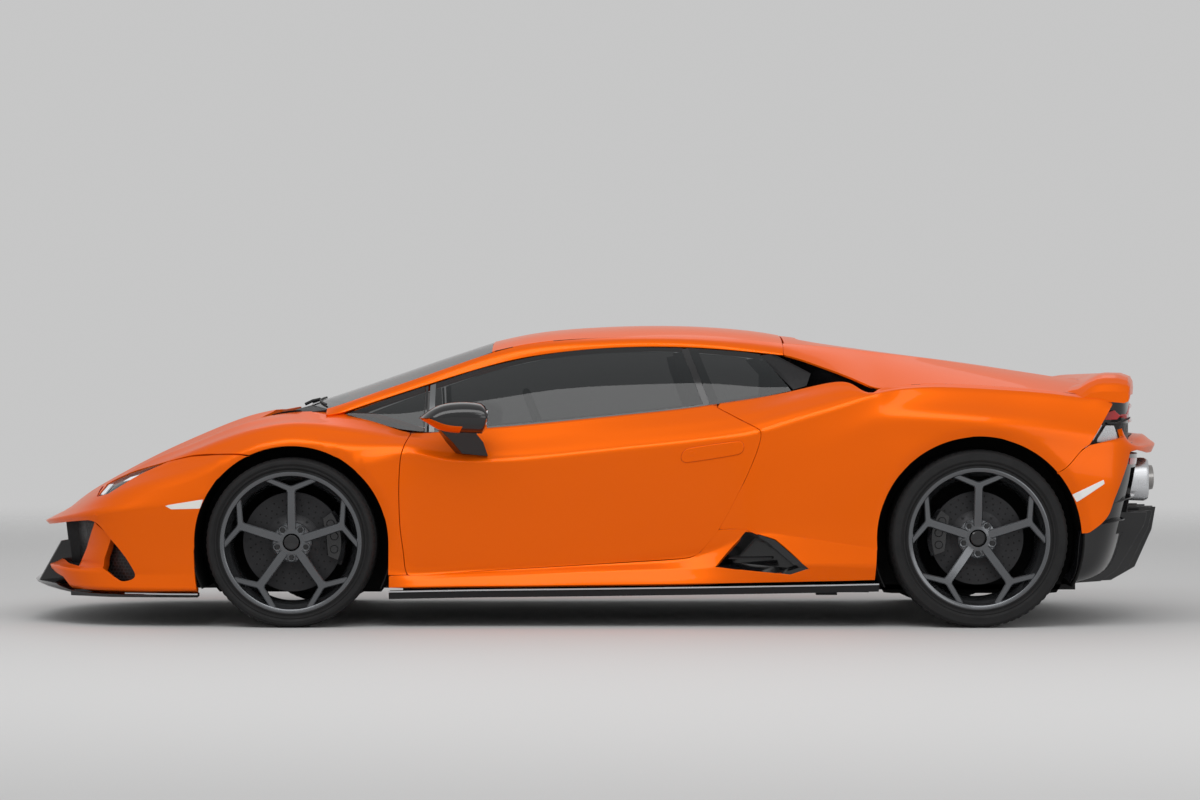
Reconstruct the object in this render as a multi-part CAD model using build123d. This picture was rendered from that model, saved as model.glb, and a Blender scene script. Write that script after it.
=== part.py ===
"""Mid-engine two-seat supercar coupe, built as separate panels, glass, cabin pieces, running gear and wheels.

Frame: +X forward, +Y to the car's left, +Z up, origin on the ground at the middle of the car's length.
Tables give a station u, in mm behind the front axle, so that a section reads like a body drawing:
X = FRONT_AXLE_X - u.
Body panels are closed polyhedra: an outer skin through the named section points, and the same net
moved inward.
"""

import math
import os

from build123d import *

# ---- driving dimensions, mm ----
LENGTH = 4520.0
WHEELBASE = 2620.0
FRONT_OVERHANG = 1093.5
FRONT_AXLE_X = LENGTH / 2 - FRONT_OVERHANG
TYRE_R = {"f": 324.0, "r": 339.0}
TYRE_W = {"f": 240.0, "r": 296.0}
TYRE_Y = {"f": 818.0, "r": 797.0}
AXLE_U = {"f": 0.0, "r": WHEELBASE}
RIM_R = 272.0
BEAD_R = 254.0
ARCH_R = {"f": 369.0, "r": 390.0}
ARCH_Z = {"f": 320.0, "r": 336.0}
GAP = 10.0
PANEL_T = 32.0
DOOR_T = 95.0
GLASS_T = 6.0
KINGPIN_Y = 752.0
JACK_PAD_U = (560.0, 2050.0)
JACK_PAD_Y, JACK_PAD_Z = 740.0, 116.0
SIDES = {"left": 1, "right": -1}


def x_of(u):
    return FRONT_AXLE_X - u


# ---- section tables ----
# Flank columns, rows from the bottom up: hem, sill, tuck, waist, crease, shoulder, crown, inner.
# Nose columns give (u, y, z) for each row, because the nose is swept. Side sections give u once and
# (y, z) for each row.
FLANK_ROWS = ("hem", "sill", "tuck", "waist", "crease", "shoulder", "crown", "inner")
NOSE = [
    [(-985, 0, 150), (-1015, 0, 175), (-1000, 0, 215), (-1010, 0, 300), (-1062, 0, 380), (-1012, 0, 408),
     (-966, 0, 434)],
    [(-975, 300, 150), (-1000, 300, 175), (-985, 300, 215), (-985, 300, 300), (-1030, 300, 384),
     (-985, 300, 410), (-948, 235, 436)],
    [(-920, 560, 150), (-950, 560, 178), (-925, 560, 220), (-915, 560, 310), (-952, 560, 398),
     (-908, 560, 432), (-868, 300, 484)],
    [(-800, 740, 148), (-838, 765, 178), (-820, 750, 225), (-800, 745, 320), (-832, 760, 424),
     (-802, 715, 466), (-785, 610, 515), (-785, 332, 530)],
    [(-690, 815, 145), (-700, 860, 180), (-700, 850, 230), (-700, 850, 330), (-715, 860, 440),
     (-700, 800, 508), (-700, 632, 562), (-700, 362, 573)],
]
SIDE = [
    (-560, (850, 140), (900, 182), (890, 235), (893, 340), (905, 450), (830, 576), (645, 642), (410, 640)),
    (-369, (870, 140), (925, 182), (918, 240), (920, 350), (930, 470), (845, 658), (650, 726), (465, 722)),
    (-200, (870, 140), (930, 182), (925, 260), (935, 400), (944, 560), (860, 730), (655, 790), (512, 782)),
    (0, (870, 140), (930, 182), (930, 270), (938, 440), (948, 640), (870, 764), (662, 820), (585, 826)),
    (200, (870, 140), (930, 182), (925, 260), (930, 420), (938, 610), (850, 745), (715, 810)),
    (369, (868, 140), (925, 182), (910, 240), (912, 400), (922, 604), (845, 702), (776, 766)),
    (520, (865, 140), (915, 182), (885, 225), (890, 400), (912, 610), (850, 702), (808, 740)),
    (900, (865, 142), (915, 185), (870, 225), (882, 400), (906, 628), (855, 732), (822, 773)),
    (1300, (868, 145), (918, 190), (868, 230), (882, 410), (908, 675), (852, 768), (816, 812)),
    (1700, (872, 148), (925, 200), (872, 260), (890, 430), (916, 738), (850, 810), (786, 866)),
    (1930, (875, 150), (935, 205), (900, 300), (908, 450), (920, 795), (840, 866), (752, 912)),
    (2083, (878, 152), (938, 208), (912, 300), (925, 465), (922, 845), (868, 910), (805, 932)),
    (2233, (880, 155), (940, 210), (925, 300), (940, 480), (930, 860), (912, 888), (885, 908), (490, 1058)),
    (2450, (880, 155), (945, 215), (940, 320), (955, 520), (955, 790), (925, 868), (880, 910), (480, 1032)),
    (2620, (880, 155), (945, 215), (950, 340), (960, 560), (966, 762), (935, 850), (875, 902), (474, 1008)),
    (2850, (870, 170), (940, 230), (948, 340), (955, 520), (955, 742), (915, 832), (868, 888), (460, 975)),
    (3030, (850, 200), (915, 260), (925, 360), (935, 480), (930, 700), (905, 800), (860, 872), (445, 949)),
]
TAIL = [
    [(3110, 820, 235), (3135, 875, 300), (3150, 890, 400), (3160, 895, 540), (3165, 895, 690),
     (3150, 885, 790), (3130, 855, 866), (3120, 440, 938)],
    [(3180, 700, 250), (3225, 720, 330), (3250, 730, 430), (3275, 740, 560), (3290, 745, 690),
     (3215, 750, 780), (3190, 745, 868), (3170, 440, 932)],
    [(3200, 400, 260), (3260, 400, 340), (3300, 400, 440), (3370, 400, 580), (3390, 400, 700),
     (3270, 400, 780), (3230, 400, 868), (3180, 300, 930)],
    [(3200, 0, 260), (3270, 0, 340), (3310, 0, 440), (3400, 0, 590), (3426, 0, 702), (3285, 0, 780),
     (3245, 0, 868), (3190, 0, 930)],
]
# Inward step of each flank row, as a share of the panel's thickness, in (y, z), and its share of the
# step along X.
ROW_STEP = [(-1.0, 0.25, 1), (-1.0, 0.0, 1), (-1.0, 0.0, 1), (-1.0, 0.0, 1), (-1.0, -0.1, 1),
            (-0.85, -0.6, 0.7),
            (-0.3, -1.0, 0), (0.0, -1.0, 0)]

# Belt and rail: the lower and upper edges of the side glass, (u, y, z).
BELT = [(171, 705, 817), (300, 752, 784), (430, 795, 750), (532, 812, 742), (755, 820, 760), (1177, 818, 800),
        (1561, 798, 841), (1638, 792, 855), (1792, 775, 884), (1929, 752, 912)]
RAIL = [(171, 705, 817), (517, 655, 929), (787, 618, 1015), (1021, 608, 1058), (1255, 600, 1077),
        (1489, 600, 1076),
        (1722, 606, 1061), (1839, 610, 1047), (1890, 612, 1040)]
# Roof sections: u, rail (y, z), cant (y, z), mid (y, z), centre z.
ROOF = [
    (775, (618, 1014), (588, 1057), (330, 1096), 1107),
    (930, (612, 1045), (574, 1090), (330, 1128), 1140),
    (1180, (606, 1073), (562, 1108), (330, 1150), 1162),
    (1400, (600, 1080), (552, 1113), (330, 1156), 1168),
    (1600, (602, 1074), (545, 1109), (330, 1151), 1163),
    (1800, (608, 1054), (536, 1096), (325, 1134), 1146),
    (1880, (611, 1043), (528, 1087), (325, 1121), 1132),
]
# Windscreen sections from cowl to header: centre (u, z), mid (u, y, z), side (u, y, z).
SCREEN = [
    ((8, 853), (32, 370, 846), (122, 660, 836)),
    ((372, 975), (385, 360, 962), (420, 634, 934)),
    ((748, 1101), (752, 330, 1089), (762, 578, 1056)),
]
PILLAR = [(110, 676, 829), (420, 646, 932), (768, 590, 1056)]  # upper edge of the A-pillar
# Hood sections: u, half width, edge z, centre z.
HOOD = [(-940, 240, 448, 454), (-868, 292, 486, 505), (-785, 326, 532, 552), (-700, 356, 575, 597),
        (-560, 404, 642, 664),
        (-369, 458, 724, 745), (-200, 505, 784, 808), (-40, 560, 822, 842)]
# Deck (engine cover) sections: u, half width, edge z, centre z.
DECK = [(1895, 505, 1095, 1120), (2233, 482, 1058, 1074), (2450, 472, 1032, 1046), (2620, 466, 1008, 1021),
        (2850, 452, 975, 986), (3030, 437, 949, 958)]
# Door outline in side view, (u, z), from the front belt corner down and round.
DOOR = [(449, 760), (427, 695), (419, 562), (419, 334), (434, 205), (1025, 226), (1520, 256), (1604, 318),
        (1691, 448),
        (1767, 620), (1788, 718), (1776, 752), (1713, 800), (1622, 858)]


# ---- helpers ----
def polyhedron(triangles):
    """A closed solid from flat triangles."""
    faces = [Face(Wire.make_polygon([Vector(*p) for p in t], close=True)) for t in triangles]
    solid = Solid(Shell(faces))
    return solid if solid.volume > 0 else Solid(solid.wrapped.Reversed())


def slab(outer, inner, skip=()):
    """A closed panel between two nets of points, net[i][j], without the cells in skip."""
    rows, cols = len(outer), len(outer[0])
    cells = [(i, j) for i in range(rows - 1) for j in range(cols - 1) if (i, j) not in skip]
    have = set(cells)
    triangles = []

    def quad(a, b, c, d):
        for t in ((a, b, c), (a, c, d)):
            if len({tuple(round(v, 3) for v in p) for p in t}) == 3:
                triangles.append(t)

    for i, j in cells:
        quad(outer[i][j], outer[i + 1][j], outer[i + 1][j + 1], outer[i][j + 1])
        quad(inner[i][j], inner[i][j + 1], inner[i + 1][j + 1], inner[i + 1][j])
        if (i - 1, j) not in have:
            quad(outer[i][j], outer[i][j + 1], inner[i][j + 1], inner[i][j])
        if (i + 1, j) not in have:
            quad(outer[i + 1][j], inner[i + 1][j], inner[i + 1][j + 1], outer[i + 1][j + 1])
        if (i, j - 1) not in have:
            quad(outer[i][j], inner[i][j], inner[i + 1][j], outer[i + 1][j])
        if (i, j + 1) not in have:
            quad(outer[i][j + 1], outer[i + 1][j + 1], inner[i + 1][j + 1], inner[i][j + 1])
    return polyhedron(triangles)


def point(u, y, z):
    return (x_of(u), y, z)


def box(u0, u1, y0, y1, z0, z1):
    size = (abs(u1 - u0), abs(y1 - y0), abs(z1 - z0))
    centre = (x_of((u0 + u1) / 2), (y0 + y1) / 2, (z0 + z1) / 2)
    return Box(*size).moved(Location(centre))


def side_prism(outline, y0, y1):
    """A prism along Y from a side-view outline of (u, z)."""
    face = Face(Wire.make_polygon([Vector(x_of(u), y0, z) for u, z in outline], close=True))
    return Solid.extrude(face, Vector(0, y1 - y0, 0))


def front_prism(outline, u0, u1):
    """A prism along X from a front-view outline of (y, z)."""
    face = Face(Wire.make_polygon([Vector(x_of(u0), y, z) for y, z in outline], close=True))
    return Solid.extrude(face, Vector(x_of(u1) - x_of(u0), 0, 0))


def top_prism(outline, z0, z1):
    """A prism along Z from a plan outline of (u, y)."""
    face = Face(Wire.make_polygon([Vector(x_of(u), y, z0) for u, y in outline], close=True))
    return Solid.extrude(face, Vector(0, 0, z1 - z0))


def round_y(radius, u, z, y0, y1):
    """A cylinder along Y."""
    return Cylinder(radius, abs(y1 - y0), rotation=(90, 0, 0)).moved(Location((x_of(u), (y0 + y1) / 2, z)))


def mirrored(shape):
    return shape.mirror(Plane.XZ)


def both(shape):
    """The left piece and its mirror image, as solids that don't touch."""
    return [*shape.solids(), *mirrored(shape).solids()]


def joined(parts):
    whole = parts[0]
    for extra in parts[1:]:
        whole = whole + extra
    return whole


def write(name, shapes):
    solids = []
    for shape in shapes if isinstance(shapes, (list, tuple)) else [shapes]:
        solids += list(shape.solids())
    export_step(Compound(children=solids) if len(solids) > 1 else solids[0], f"parts/{name}.step")


# ---- body skin ----
def side_columns():
    """Side sections as full columns of (u, y, z). Where there is no inner row, the crown is repeated."""
    columns = []
    for u, *rows in SIDE:
        rows = [(u, y, z) for y, z in rows]
        columns.append(rows + [rows[-1]] * (len(FLANK_ROWS) - len(rows)))
    return columns


def full(column):
    return list(column) + [column[-1]] * (len(FLANK_ROWS) - len(column))


def flank_net(columns, thickness, step_u=0.0):
    """Outer and inner nets of a run of columns. step_u moves the inner net along the car."""
    outer = [[point(*p) for p in column] for column in columns]
    inner = []
    for column in columns:
        line = []
        for (u, y, z), (dy, dz, du) in zip(column, ROW_STEP):
            reach = min(1.0, y / 760.0)
            line.append(point(u + step_u * du * (1.0 - 0.75 * reach * reach),
                              max(0.0, y + dy * thickness * reach), z + dz * thickness))
        inner.append(line)
    return outer, inner


def arch_cut(end, grow=0.0):
    return round_y(ARCH_R[end] + grow, AXLE_U[end], ARCH_Z[end], 560, 1100)


def row_cells(columns, first_row, last_row):
    """The cells to skip so that only some rows of a panel are left."""
    rows = len(FLANK_ROWS)
    return {(i, j) for i in range(columns - 1) for j in range(rows - 1) if not first_row <= j < last_row}


def flat_inner(columns):
    """Cells between crown and inner that have no width."""
    last = len(FLANK_ROWS) - 2
    closed = [column[last] == column[last + 1] for column in columns]
    return {(i, last) for i in range(len(columns) - 1) if closed[i] and closed[i + 1]}


# The bumper ends at the arch and at a near-level cut from the headlamp's tail to the arch.
BUMPER_TOP = [(-1200, 470), (-940, 470), (-790, 500), (-714, 504), (-597, 575), (-481, 630), (-300, 642),
              (-170, 644)]


def front_skin():
    columns = [full(c) for c in NOSE] + side_columns()[:8]
    outer, inner = flank_net(columns, PANEL_T, step_u=PANEL_T * 1.6)
    return slab(outer, inner, flat_inner(columns))


def front_bumper(skin):
    """Lower nose from the centre to the arch, with its three mouths."""
    keep = side_prism([(-1200, 100), *BUMPER_TOP, (-170, 100)], 0, 1100)
    half = (skin & keep) - arch_cut("f")
    half = half - front_prism([(-10, 205), (400, 205), (440, 330), (-10, 345)], -1200, -700)
    half = half - front_prism([(500, 222), (640, 222), (705, 372), (470, 352)], -1200, -740)
    half = half - side_prism([(-800, 232), (-700, 200), (-668, 212), (-745, 330), (-790, 350)], 690, 1100)
    half = half - headlamp_block(4.0)
    return half


def mirror_join(half):
    """A piece that crosses the centre plane, from its left half."""
    return half + mirrored(half)


def biggest(shape):
    return max(shape.solids(), key=lambda s: s.volume)


def front_fender(skin):
    top = side_prism([*[(u, z + 8) for u, z in BUMPER_TOP[:-1]], (-150, 652), (-150, 100),
                      (DOOR[0][0] - GAP, 100), (DOOR[4][0] - GAP, 205), (DOOR[3][0] - GAP, 334),
                      (DOOR[2][0] - GAP, 562),
                      (DOOR[1][0] - GAP, 695), (DOOR[0][0] - GAP, 770), (439, 1000), (-1200, 1000)], 0, 1100)
    half = (skin & top) - arch_cut("f")
    sill_zone = side_prism([(300, 0), (300, 196), (600, 196), (600, 0)], 600, 1100)
    half = half - sill_zone
    half = half - headlamp_block(4.0)
    return biggest(half)


HEADLAMP = [(-766, 494), (-739, 545), (-628, 590), (-484, 631), (-597, 581), (-713, 508)]


def headlamp_block(grow):
    """The lamp's hole, a few mm wider than the lamp all round."""
    cu = sum(u for u, _ in HEADLAMP) / len(HEADLAMP)
    outline = [(u + math.copysign(grow, u - cu), z + (grow if n in (1, 2, 3) else -grow)) for n,
               (u, z) in enumerate(HEADLAMP)]
    return side_prism(outline, 560, 1000)


def headlamp(skin_inner):
    """Slim lamp that fills its hole in the fender, a few mm below the skin."""
    return skin_inner & side_prism(HEADLAMP, 566, 1000)


def rear_quarter():
    columns = side_columns()[8:] + [full(TAIL[0])]
    outer, inner = flank_net(columns, PANEL_T)
    flank = slab(outer, inner, flat_inner(columns))
    # the buttress over the upper intake, from the roof's end to the haunch
    eave = [(1892, 622, 1045), (2018, 690, 1005), (2102, 772, 971), (2233, 885, 908)]
    edge = [(1892, 512, 1093), (2018, 506, 1082), (2102, 500, 1074), (2233, 490, 1058)]
    outer_b = [[point(*a), point(*b)] for a, b in zip(eave, edge)]
    inner_b = [[(p[0], p[1] - 14, p[2] - 28) for p in line] for line in outer_b]
    quarter = flank + slab(outer_b, inner_b)
    front = side_prism([(1000, 0), (1000, 1200), (1885, 1200), (1930, 1000), (1640 + GAP, 870),
                        (1713 + GAP, 804), (1776 + GAP, 762),
                        (1788 + GAP, 718), (1767 + GAP, 616), (1691 + GAP, 444), (1604 + GAP, 312),
                        (1560, 262), (1560, 0)], 0, 1100)
    pod = side_prism([(1500, 0), (1500, 262), (1640, 285), (1700, 330), (1800, 335), (2240, 262),
                      (2300, 262), (2300, 0)], 600, 1100)
    half = (quarter - front) - arch_cut("r")
    half = half - pod
    lower = side_prism([(2900, 0), (2900, 470), (3010, 560), (3095, 690), (3108, 716), (3300, 716),
                        (3300, 0)], 400, 1100)
    lamp = side_prism([(3054, 700), (3080, 786), (3066, 867), (3066, 1000), (3400, 1000), (3400, 700)], 400,
                      1100)
    half = half - lower - lamp - box(3034, 3400, 0, 862, 824, 1100)
    return biggest(half)


def sill():
    """Side skirt below the door, growing into the pod that holds the lower intake."""
    # u, then hem, lip, ledge and top points (y, z)
    table = [
        (378, (862, 112), (915, 140), (918, 178), (892, 190)),
        (900, (862, 114), (915, 142), (920, 184), (880, 204)),
        (1400, (865, 118), (922, 146), (928, 196), (876, 236)),
        (1600, (868, 120), (930, 148), (940, 205), (884, 262)),
        (1760, (870, 122), (935, 150), (955, 240), (905, 322)),
        (1860, (870, 123), (938, 151), (960, 250), (912, 318)),
        (2233, (872, 126), (940, 154), (956, 232), (928, 262)),
    ]
    outer, inner = [], []
    for u, *rows in table:
        outer.append([point(u, y, z) for y, z in rows])
        inner.append([point(u, y - 60, z + (18 if n == 0 else 0)) for n, (y, z) in enumerate(rows)])
    skirt = slab(outer, inner)
    intake = side_prism([(1632, 218), (1735, 362), (1770, 362), (1962, 218), (1925, 190)], 880, 1100)
    return skirt - intake


def side_intake():
    """Black triangular inlet with one vane, set into the pod."""
    outline = [(1640, 222), (1738, 318), (1772, 318), (1950, 220), (1920, 196)]
    inner = [(1672, 228), (1745, 302), (1768, 302), (1915, 222), (1900, 210)]
    frame = side_prism(outline, 884, 940) - side_prism(inner, 898, 960)
    vane = box(1700, 1900, 890, 930, 244, 252)
    return joined([frame, vane])


def front_splitter():
    """Black lip under the nose, swept back to the arches, with a raised blade at each corner."""
    plan = [(-FRONT_OVERHANG, 0), (-1088, 250), (-1010, 560), (-905, 740), (-760, 842), (-560, 884),
            (-402, 892), (-402, 780), (-700, 720), (-880, 480), (-900, 0)]
    plate = top_prism(plan, 112, 140)
    fin = slab([[point(-1075, 440, 138), point(-1040, 440, 205)],
                [point(-900, 745, 138), point(-900, 745, 172)]],
               [[point(-1060, 430, 138), point(-1025, 430, 205)],
                [point(-885, 735, 138), point(-885, 735, 172)]])
    return mirror_join(joined([plate, fin]))


def front_grille():
    """Dark inserts behind the three mouths: a slatted centre and a plate each side."""
    centre = box(-862, -850, -430, 430, 196, 352)
    slats = [box(-897, -862, -400, 400, z, z + 8) for z in (225, 255, 285, 315)]
    side = box(-790, -778, 470, 660, 200, 366)
    return [joined([centre, *slats]), *both(side)]


def hood():
    """Front lid: hinged along its rear edge."""
    outer, inner = [], []
    for u, half, edge_z, centre_z in HOOD:
        mid_z = edge_z + 0.78 * (centre_z - edge_z)
        line = [(-half, edge_z), (-half * 0.5, mid_z), (0, centre_z), (half * 0.5, mid_z), (half, edge_z)]
        line = [(y * (half - GAP) / half, z) for y, z in line]
        rear = 1.0 if u > -100 else 0.0
        outer.append([point(u + rear * abs(y) * 0.06, y, z) for y, z in line])
        inner.append([point(u + rear * abs(y) * 0.06, y, z - 24) for y, z in line])
    return slab(outer, inner)


def cowl():
    """Black tray between hood and windscreen, with the wiper's rest."""
    rows = [(-22, 530, 804, 826), (20, 560, 800, 826)]
    outer = [[point(u + abs(y) * 0.06, y, z) for y, z in ((-w, ze), (0, zc), (w, ze))] for u, w, ze,
             zc in rows]
    inner = [[(p[0], p[1], p[2] - 14) for p in line] for line in outer]
    return slab(outer, inner)


def windscreen():
    outer = []
    for (uc, zc), (um, ym, zm), (us, ys, zs) in SCREEN:
        outer.append([point(us, ys - 8, zs), point(um, ym, zm), point(uc, 0, zc), point(um, -ym, zm),
                      point(us, -ys + 8, zs)])
    inner = [[(p[0] - 2, p[1], p[2] - GLASS_T) for p in line] for line in outer]
    return slab(outer, inner)


def roof():
    """Roof skin with both cant rails and the A-pillars, as one panel."""
    outer, inner = [], []
    for u, rail, cant, mid, centre_z in ROOF:
        half = [rail, cant, mid]
        line = [(-y, z) for y, z in half] + [(0, centre_z)] + half[::-1]
        outer.append([point(u, y, z) for y, z in line])
        drop = [(18, 0), (26, -22), (0, -24)]
        low = [(-y + dy, z + dz) for (y, z), (dy, dz) in zip(half, drop)] + [(0, centre_z - 24)]
        low += [(-y, z) for y, z in low[2::-1]]
        inner.append([point(u, y, z) for y, z in low])
    skin = slab(outer, inner)
    lower = [(215, 704, 827), (517, 657, 931), (768, 618, 1014)]
    outer_p = [[point(*a), point(*b)] for a, b in zip(lower, PILLAR)]
    drops = (6, 24, 24)
    inner_p = [[(a[0], a[1] - 26, a[2] - 4), (b[0], b[1] - 20, b[2] - d)] for (a, b),
               d in zip(outer_p, drops)]
    pillar = slab(outer_p, inner_p)
    return joined([skin, pillar, mirrored(pillar)])


def line_at(line, u):
    """A point on a (u, y, z) line at u."""
    for (u0, y0, z0), (u1, y1, z1) in zip(line, line[1:]):
        if u0 <= u <= u1:
            t = (u - u0) / (u1 - u0)
            return (u, y0 + t * (y1 - y0), z0 + t * (z1 - z0))
    return line[0] if u < line[0][0] else line[-1]


def pane(stations):
    """Side glass between points given along the belt and the rail: (belt u, rail u)."""
    outer = []
    for ub, ur in stations:
        b, r = line_at(BELT, ub), line_at(RAIL, ur)
        mid = tuple((p + q) / 2 + d for p, q, d in zip(b, r, (0, 12, 4)))
        outer.append([point(b[0], b[1] - 14, b[2] + 16), point(mid[0], mid[1] - 6, mid[2]),
                      point(r[0], r[1] - 4, r[2] - 12)])
    inner = [[(p[0], p[1] - GLASS_T, p[2] - 1) for p in line] for line in outer]
    return slab(outer, inner)


def side_windows():
    """Fixed glass: the small front corner and the quarter window, both sides."""
    front = pane([(215, 255), (360, 390), (505, 495)])
    rear = pane([(1590, 1520), (1700, 1650), (1850, 1760)])
    return [*both(front), *both(rear)]


def pillar_trim():
    """Black B-pillar and the inlet duct behind the quarter glass."""
    outline = [(1868, 900), (1790, 1010), (1876, 1006), (2000, 955), (1985, 918), (1935, 905)]
    return side_prism(outline, 560, 640)


def door(side_net):
    outline = list(DOOR)
    prism = side_prism(outline, 500, 1100)
    return biggest(side_net & prism)


def door_net():
    columns = side_columns()[4:13]
    outer, inner = flank_net(columns, DOOR_T)
    return slab(outer, inner, row_cells(len(columns), 1, 6))


def door_glass():
    return pane([(545, 535), (760, 790), (1177, 1180), (1380, 1340), (1548, 1478)])


def door_mirror():
    """Mirror housing on a slanted arm that stands on the door's shoulder."""
    # housing sections along Y: y, then (u, z) corners, tip forward
    sections = [
        (905, [(500, 800), (560, 822), (700, 828), (712, 790), (640, 780), (560, 778)]),
        (980, [(490, 800), (560, 838), (712, 842), (722, 784), (650, 770), (560, 772)]),
        (1085, [(520, 806), (575, 836), (712, 838), (720, 792), (650, 780), (575, 782)]),
    ]
    outer = [[point(u, y, z) for u, z in ring] for y, ring in sections]
    rings = [Wire.make_polygon([Vector(*p) for p in ring], close=True) for ring in outer]
    housing = Solid.make_loft(rings, ruled=True)
    arm = slab([[point(560, 935, 786), point(655, 935, 786)], [point(640, 872, 706), point(722, 872, 706)]],
               [[point(560, 915, 786), point(655, 915, 786)], [point(640, 850, 706), point(722, 850, 706)]])
    return joined([housing, arm])


def engine_cover():
    """Rear lid with transverse louvres, hinged at the roof."""
    outer, inner = [], []
    for u, half, edge_z, centre_z in DECK:
        mid_z = edge_z + 0.78 * (centre_z - edge_z)
        line = [(-half, edge_z), (-half * 0.5, mid_z), (0, centre_z), (half * 0.5, mid_z), (half, edge_z)]
        line = [(y * (half - GAP) / half, z) for y, z in line]
        outer.append([point(u, y, z) for y, z in line])
        inner.append([point(u, y, z - 26) for y, z in line])
    lid = slab(outer, inner)
    for n in range(5):
        u0 = 2080 + 150 * n
        lid = lid - box(u0, u0 + 105, -250 + 14 * n, 250 - 14 * n, 900, 1200)
    return lid


def rear_spoiler():
    """Ducktail across the tail's upper edge."""
    # y, then (u, z) ring: front, top, trailing edge top, trailing edge bottom, underside
    half = [
        (0, [(3042, 954), (3180, 966), (3330, 986), (3335, 962), (3200, 905), (3050, 928)]),
        (430, [(3040, 950), (3165, 968), (3295, 984), (3300, 958), (3180, 900), (3048, 924)]),
        (700, [(3048, 915), (3140, 945), (3238, 966), (3244, 925), (3150, 880), (3056, 888)]),
        (850, [(3105, 880), (3165, 886), (3222, 890), (3226, 874), (3170, 868), (3110, 866)]),
    ]
    stations = [(-y, ring) for y, ring in half[:0:-1]] + half
    net = [[point(u, y, z) for u, z in ring] for y, ring in stations]
    triangles = []
    for a, b in zip(net, net[1:]):
        for k in range(len(a)):
            n = (k + 1) % len(a)
            triangles += [(a[k], b[k], b[n]), (a[k], b[n], a[n])]
    for ring in (net[0], net[-1]):
        order = ring if ring is net[0] else ring[::-1]
        triangles += [(order[0], order[k + 1], order[k]) for k in range(1, len(ring) - 1)]
    return polyhedron(triangles)


def rear_bumper():
    """Painted tail bumper: a shelf under the lamps, wrapped round both corners."""
    columns = [side_columns()[-2], side_columns()[-1]] + [full(c) for c in TAIL]
    outer, inner = flank_net(columns, PANEL_T, step_u=-PANEL_T * 1.6)
    skin = slab(outer, inner, row_cells(len(columns), 2, 5))
    keep = side_prism([(2895, 462), (3015, 558), (3095, 688), (3110, 708), (3500, 708), (3500, 655),
                       (3260, 620), (3150, 470), (3060, 360), (2895, 360)], 0, 1100)
    return mirror_join(biggest((skin & keep) - arch_cut("r", 4)))


def rear_diffuser():
    """Black lower tail with fins, from arch to arch."""
    # y, then (u, z) ring
    ring_side = [(3000, 150), (3060, 352), (3140, 455), (3235, 470), (3330, 440), (3290, 330), (3180, 200)]
    body = side_prism(ring_side, -800, 800) - side_prism([(3040, 100), (3090, 330), (3200, 400), (3310, 400),
                                                          (3400, 100)], -560, 560)
    fins = [box(3010, 3260, y - 6, y + 6, 190, 420) & side_prism(ring_side, -900, 900) for y in (-340, -115,
                                                                                                 115, 340)]
    return joined([body, *fins])


def rear_grille():
    """Mesh panel between the lamps."""
    plate = box(3212, 3224, -440, 440, 716, 856)
    slats = [box(3224, 3240, -430, 430, z, z + 6) for z in (740, 765, 790, 815, 840)]
    return joined([plate, *slats])


def tail_lamps():
    left = side_prism([(3045, 716), (3120, 822), (3200, 856), (3218, 856), (3205, 716)], 460, 830)
    return both(left)


def exhaust_tips():
    out = []
    for y in (-205, 205):
        tube = Cylinder(52, 150, rotation=(0, 90, 0)).moved(Location((x_of(3318), y, 560)))
        bore = Cylinder(46, 130, rotation=(0, 90, 0)).moved(Location((x_of(3338), y, 560)))
        out.append(tube - bore)
    return out


# ---- chassis and cabin ----
def floor_pan():
    plate = top_prism([(-880, 450), (-420, 700), (-420, 480), (420, 480), (420, 795), (2210, 795),
                       (2210, 600), (3030, 600), (3030, -600),
                       (2210, -600), (2210, -795), (420, -795), (420, -480), (-420, -480), (-420, -700),
                       (-880, -450)], 128, 148)
    pads = [box(u - 40, u + 40, y - 25, y + 25, JACK_PAD_Z, 130) for u in JACK_PAD_U for y in (-JACK_PAD_Y,
                                                                                               JACK_PAD_Y)]
    return joined([plate, *pads])


def tub():
    """Cabin tub: inner sills, footwell bulkhead, luggage tray walls and rear bulkhead."""
    parts = [box(430, 1980, 640, 745, 148, 330), box(430, 1980, -745, -640, 148, 330)]
    parts.append(box(425, 450, -745, 745, 148, 690))
    parts.append(box(1975, 2000, -755, 755, 148, 860))
    parts += [box(-560, 426, y - 12, y + 12, 148, 600) for y in (-440, 440)]
    parts.append(box(-584, -560, -452, 452, 148, 560))
    return joined(parts)


def seats():
    base = side_prism([(1180, 300), (1200, 400), (1600, 350), (1850, 900), (1930, 900), (1760, 300)], 160,
                      600)
    return both(base)


def dashboard():
    """Dashboard with the centre tunnel that runs back between the seats."""
    dash = side_prism([(455, 560), (455, 745), (620, 770), (760, 740), (820, 640), (780, 560)], -690, 690)
    tunnel = side_prism([(455, 150), (455, 600), (780, 600), (1040, 440), (1970, 400), (1970, 150)], -110,
                        110)
    return joined([dash, tunnel])


def steering_wheel():
    ring = Torus(172, 15)
    spokes = [Box(330, 30, 14), Box(30, 170, 14).moved(Location((0, -80, 0)))]
    hub = Cylinder(48, 40)
    wheel = joined([ring, *spokes, hub])
    column = Cylinder(24, 130).moved(Location((0, 0, -80)))
    return joined([wheel, column]).rotate(Axis.Y, -70).moved(Location((x_of(945), 370, 745)))


def engine():
    return box(2060, 2560, -290, 290, 240, 760)


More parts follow.
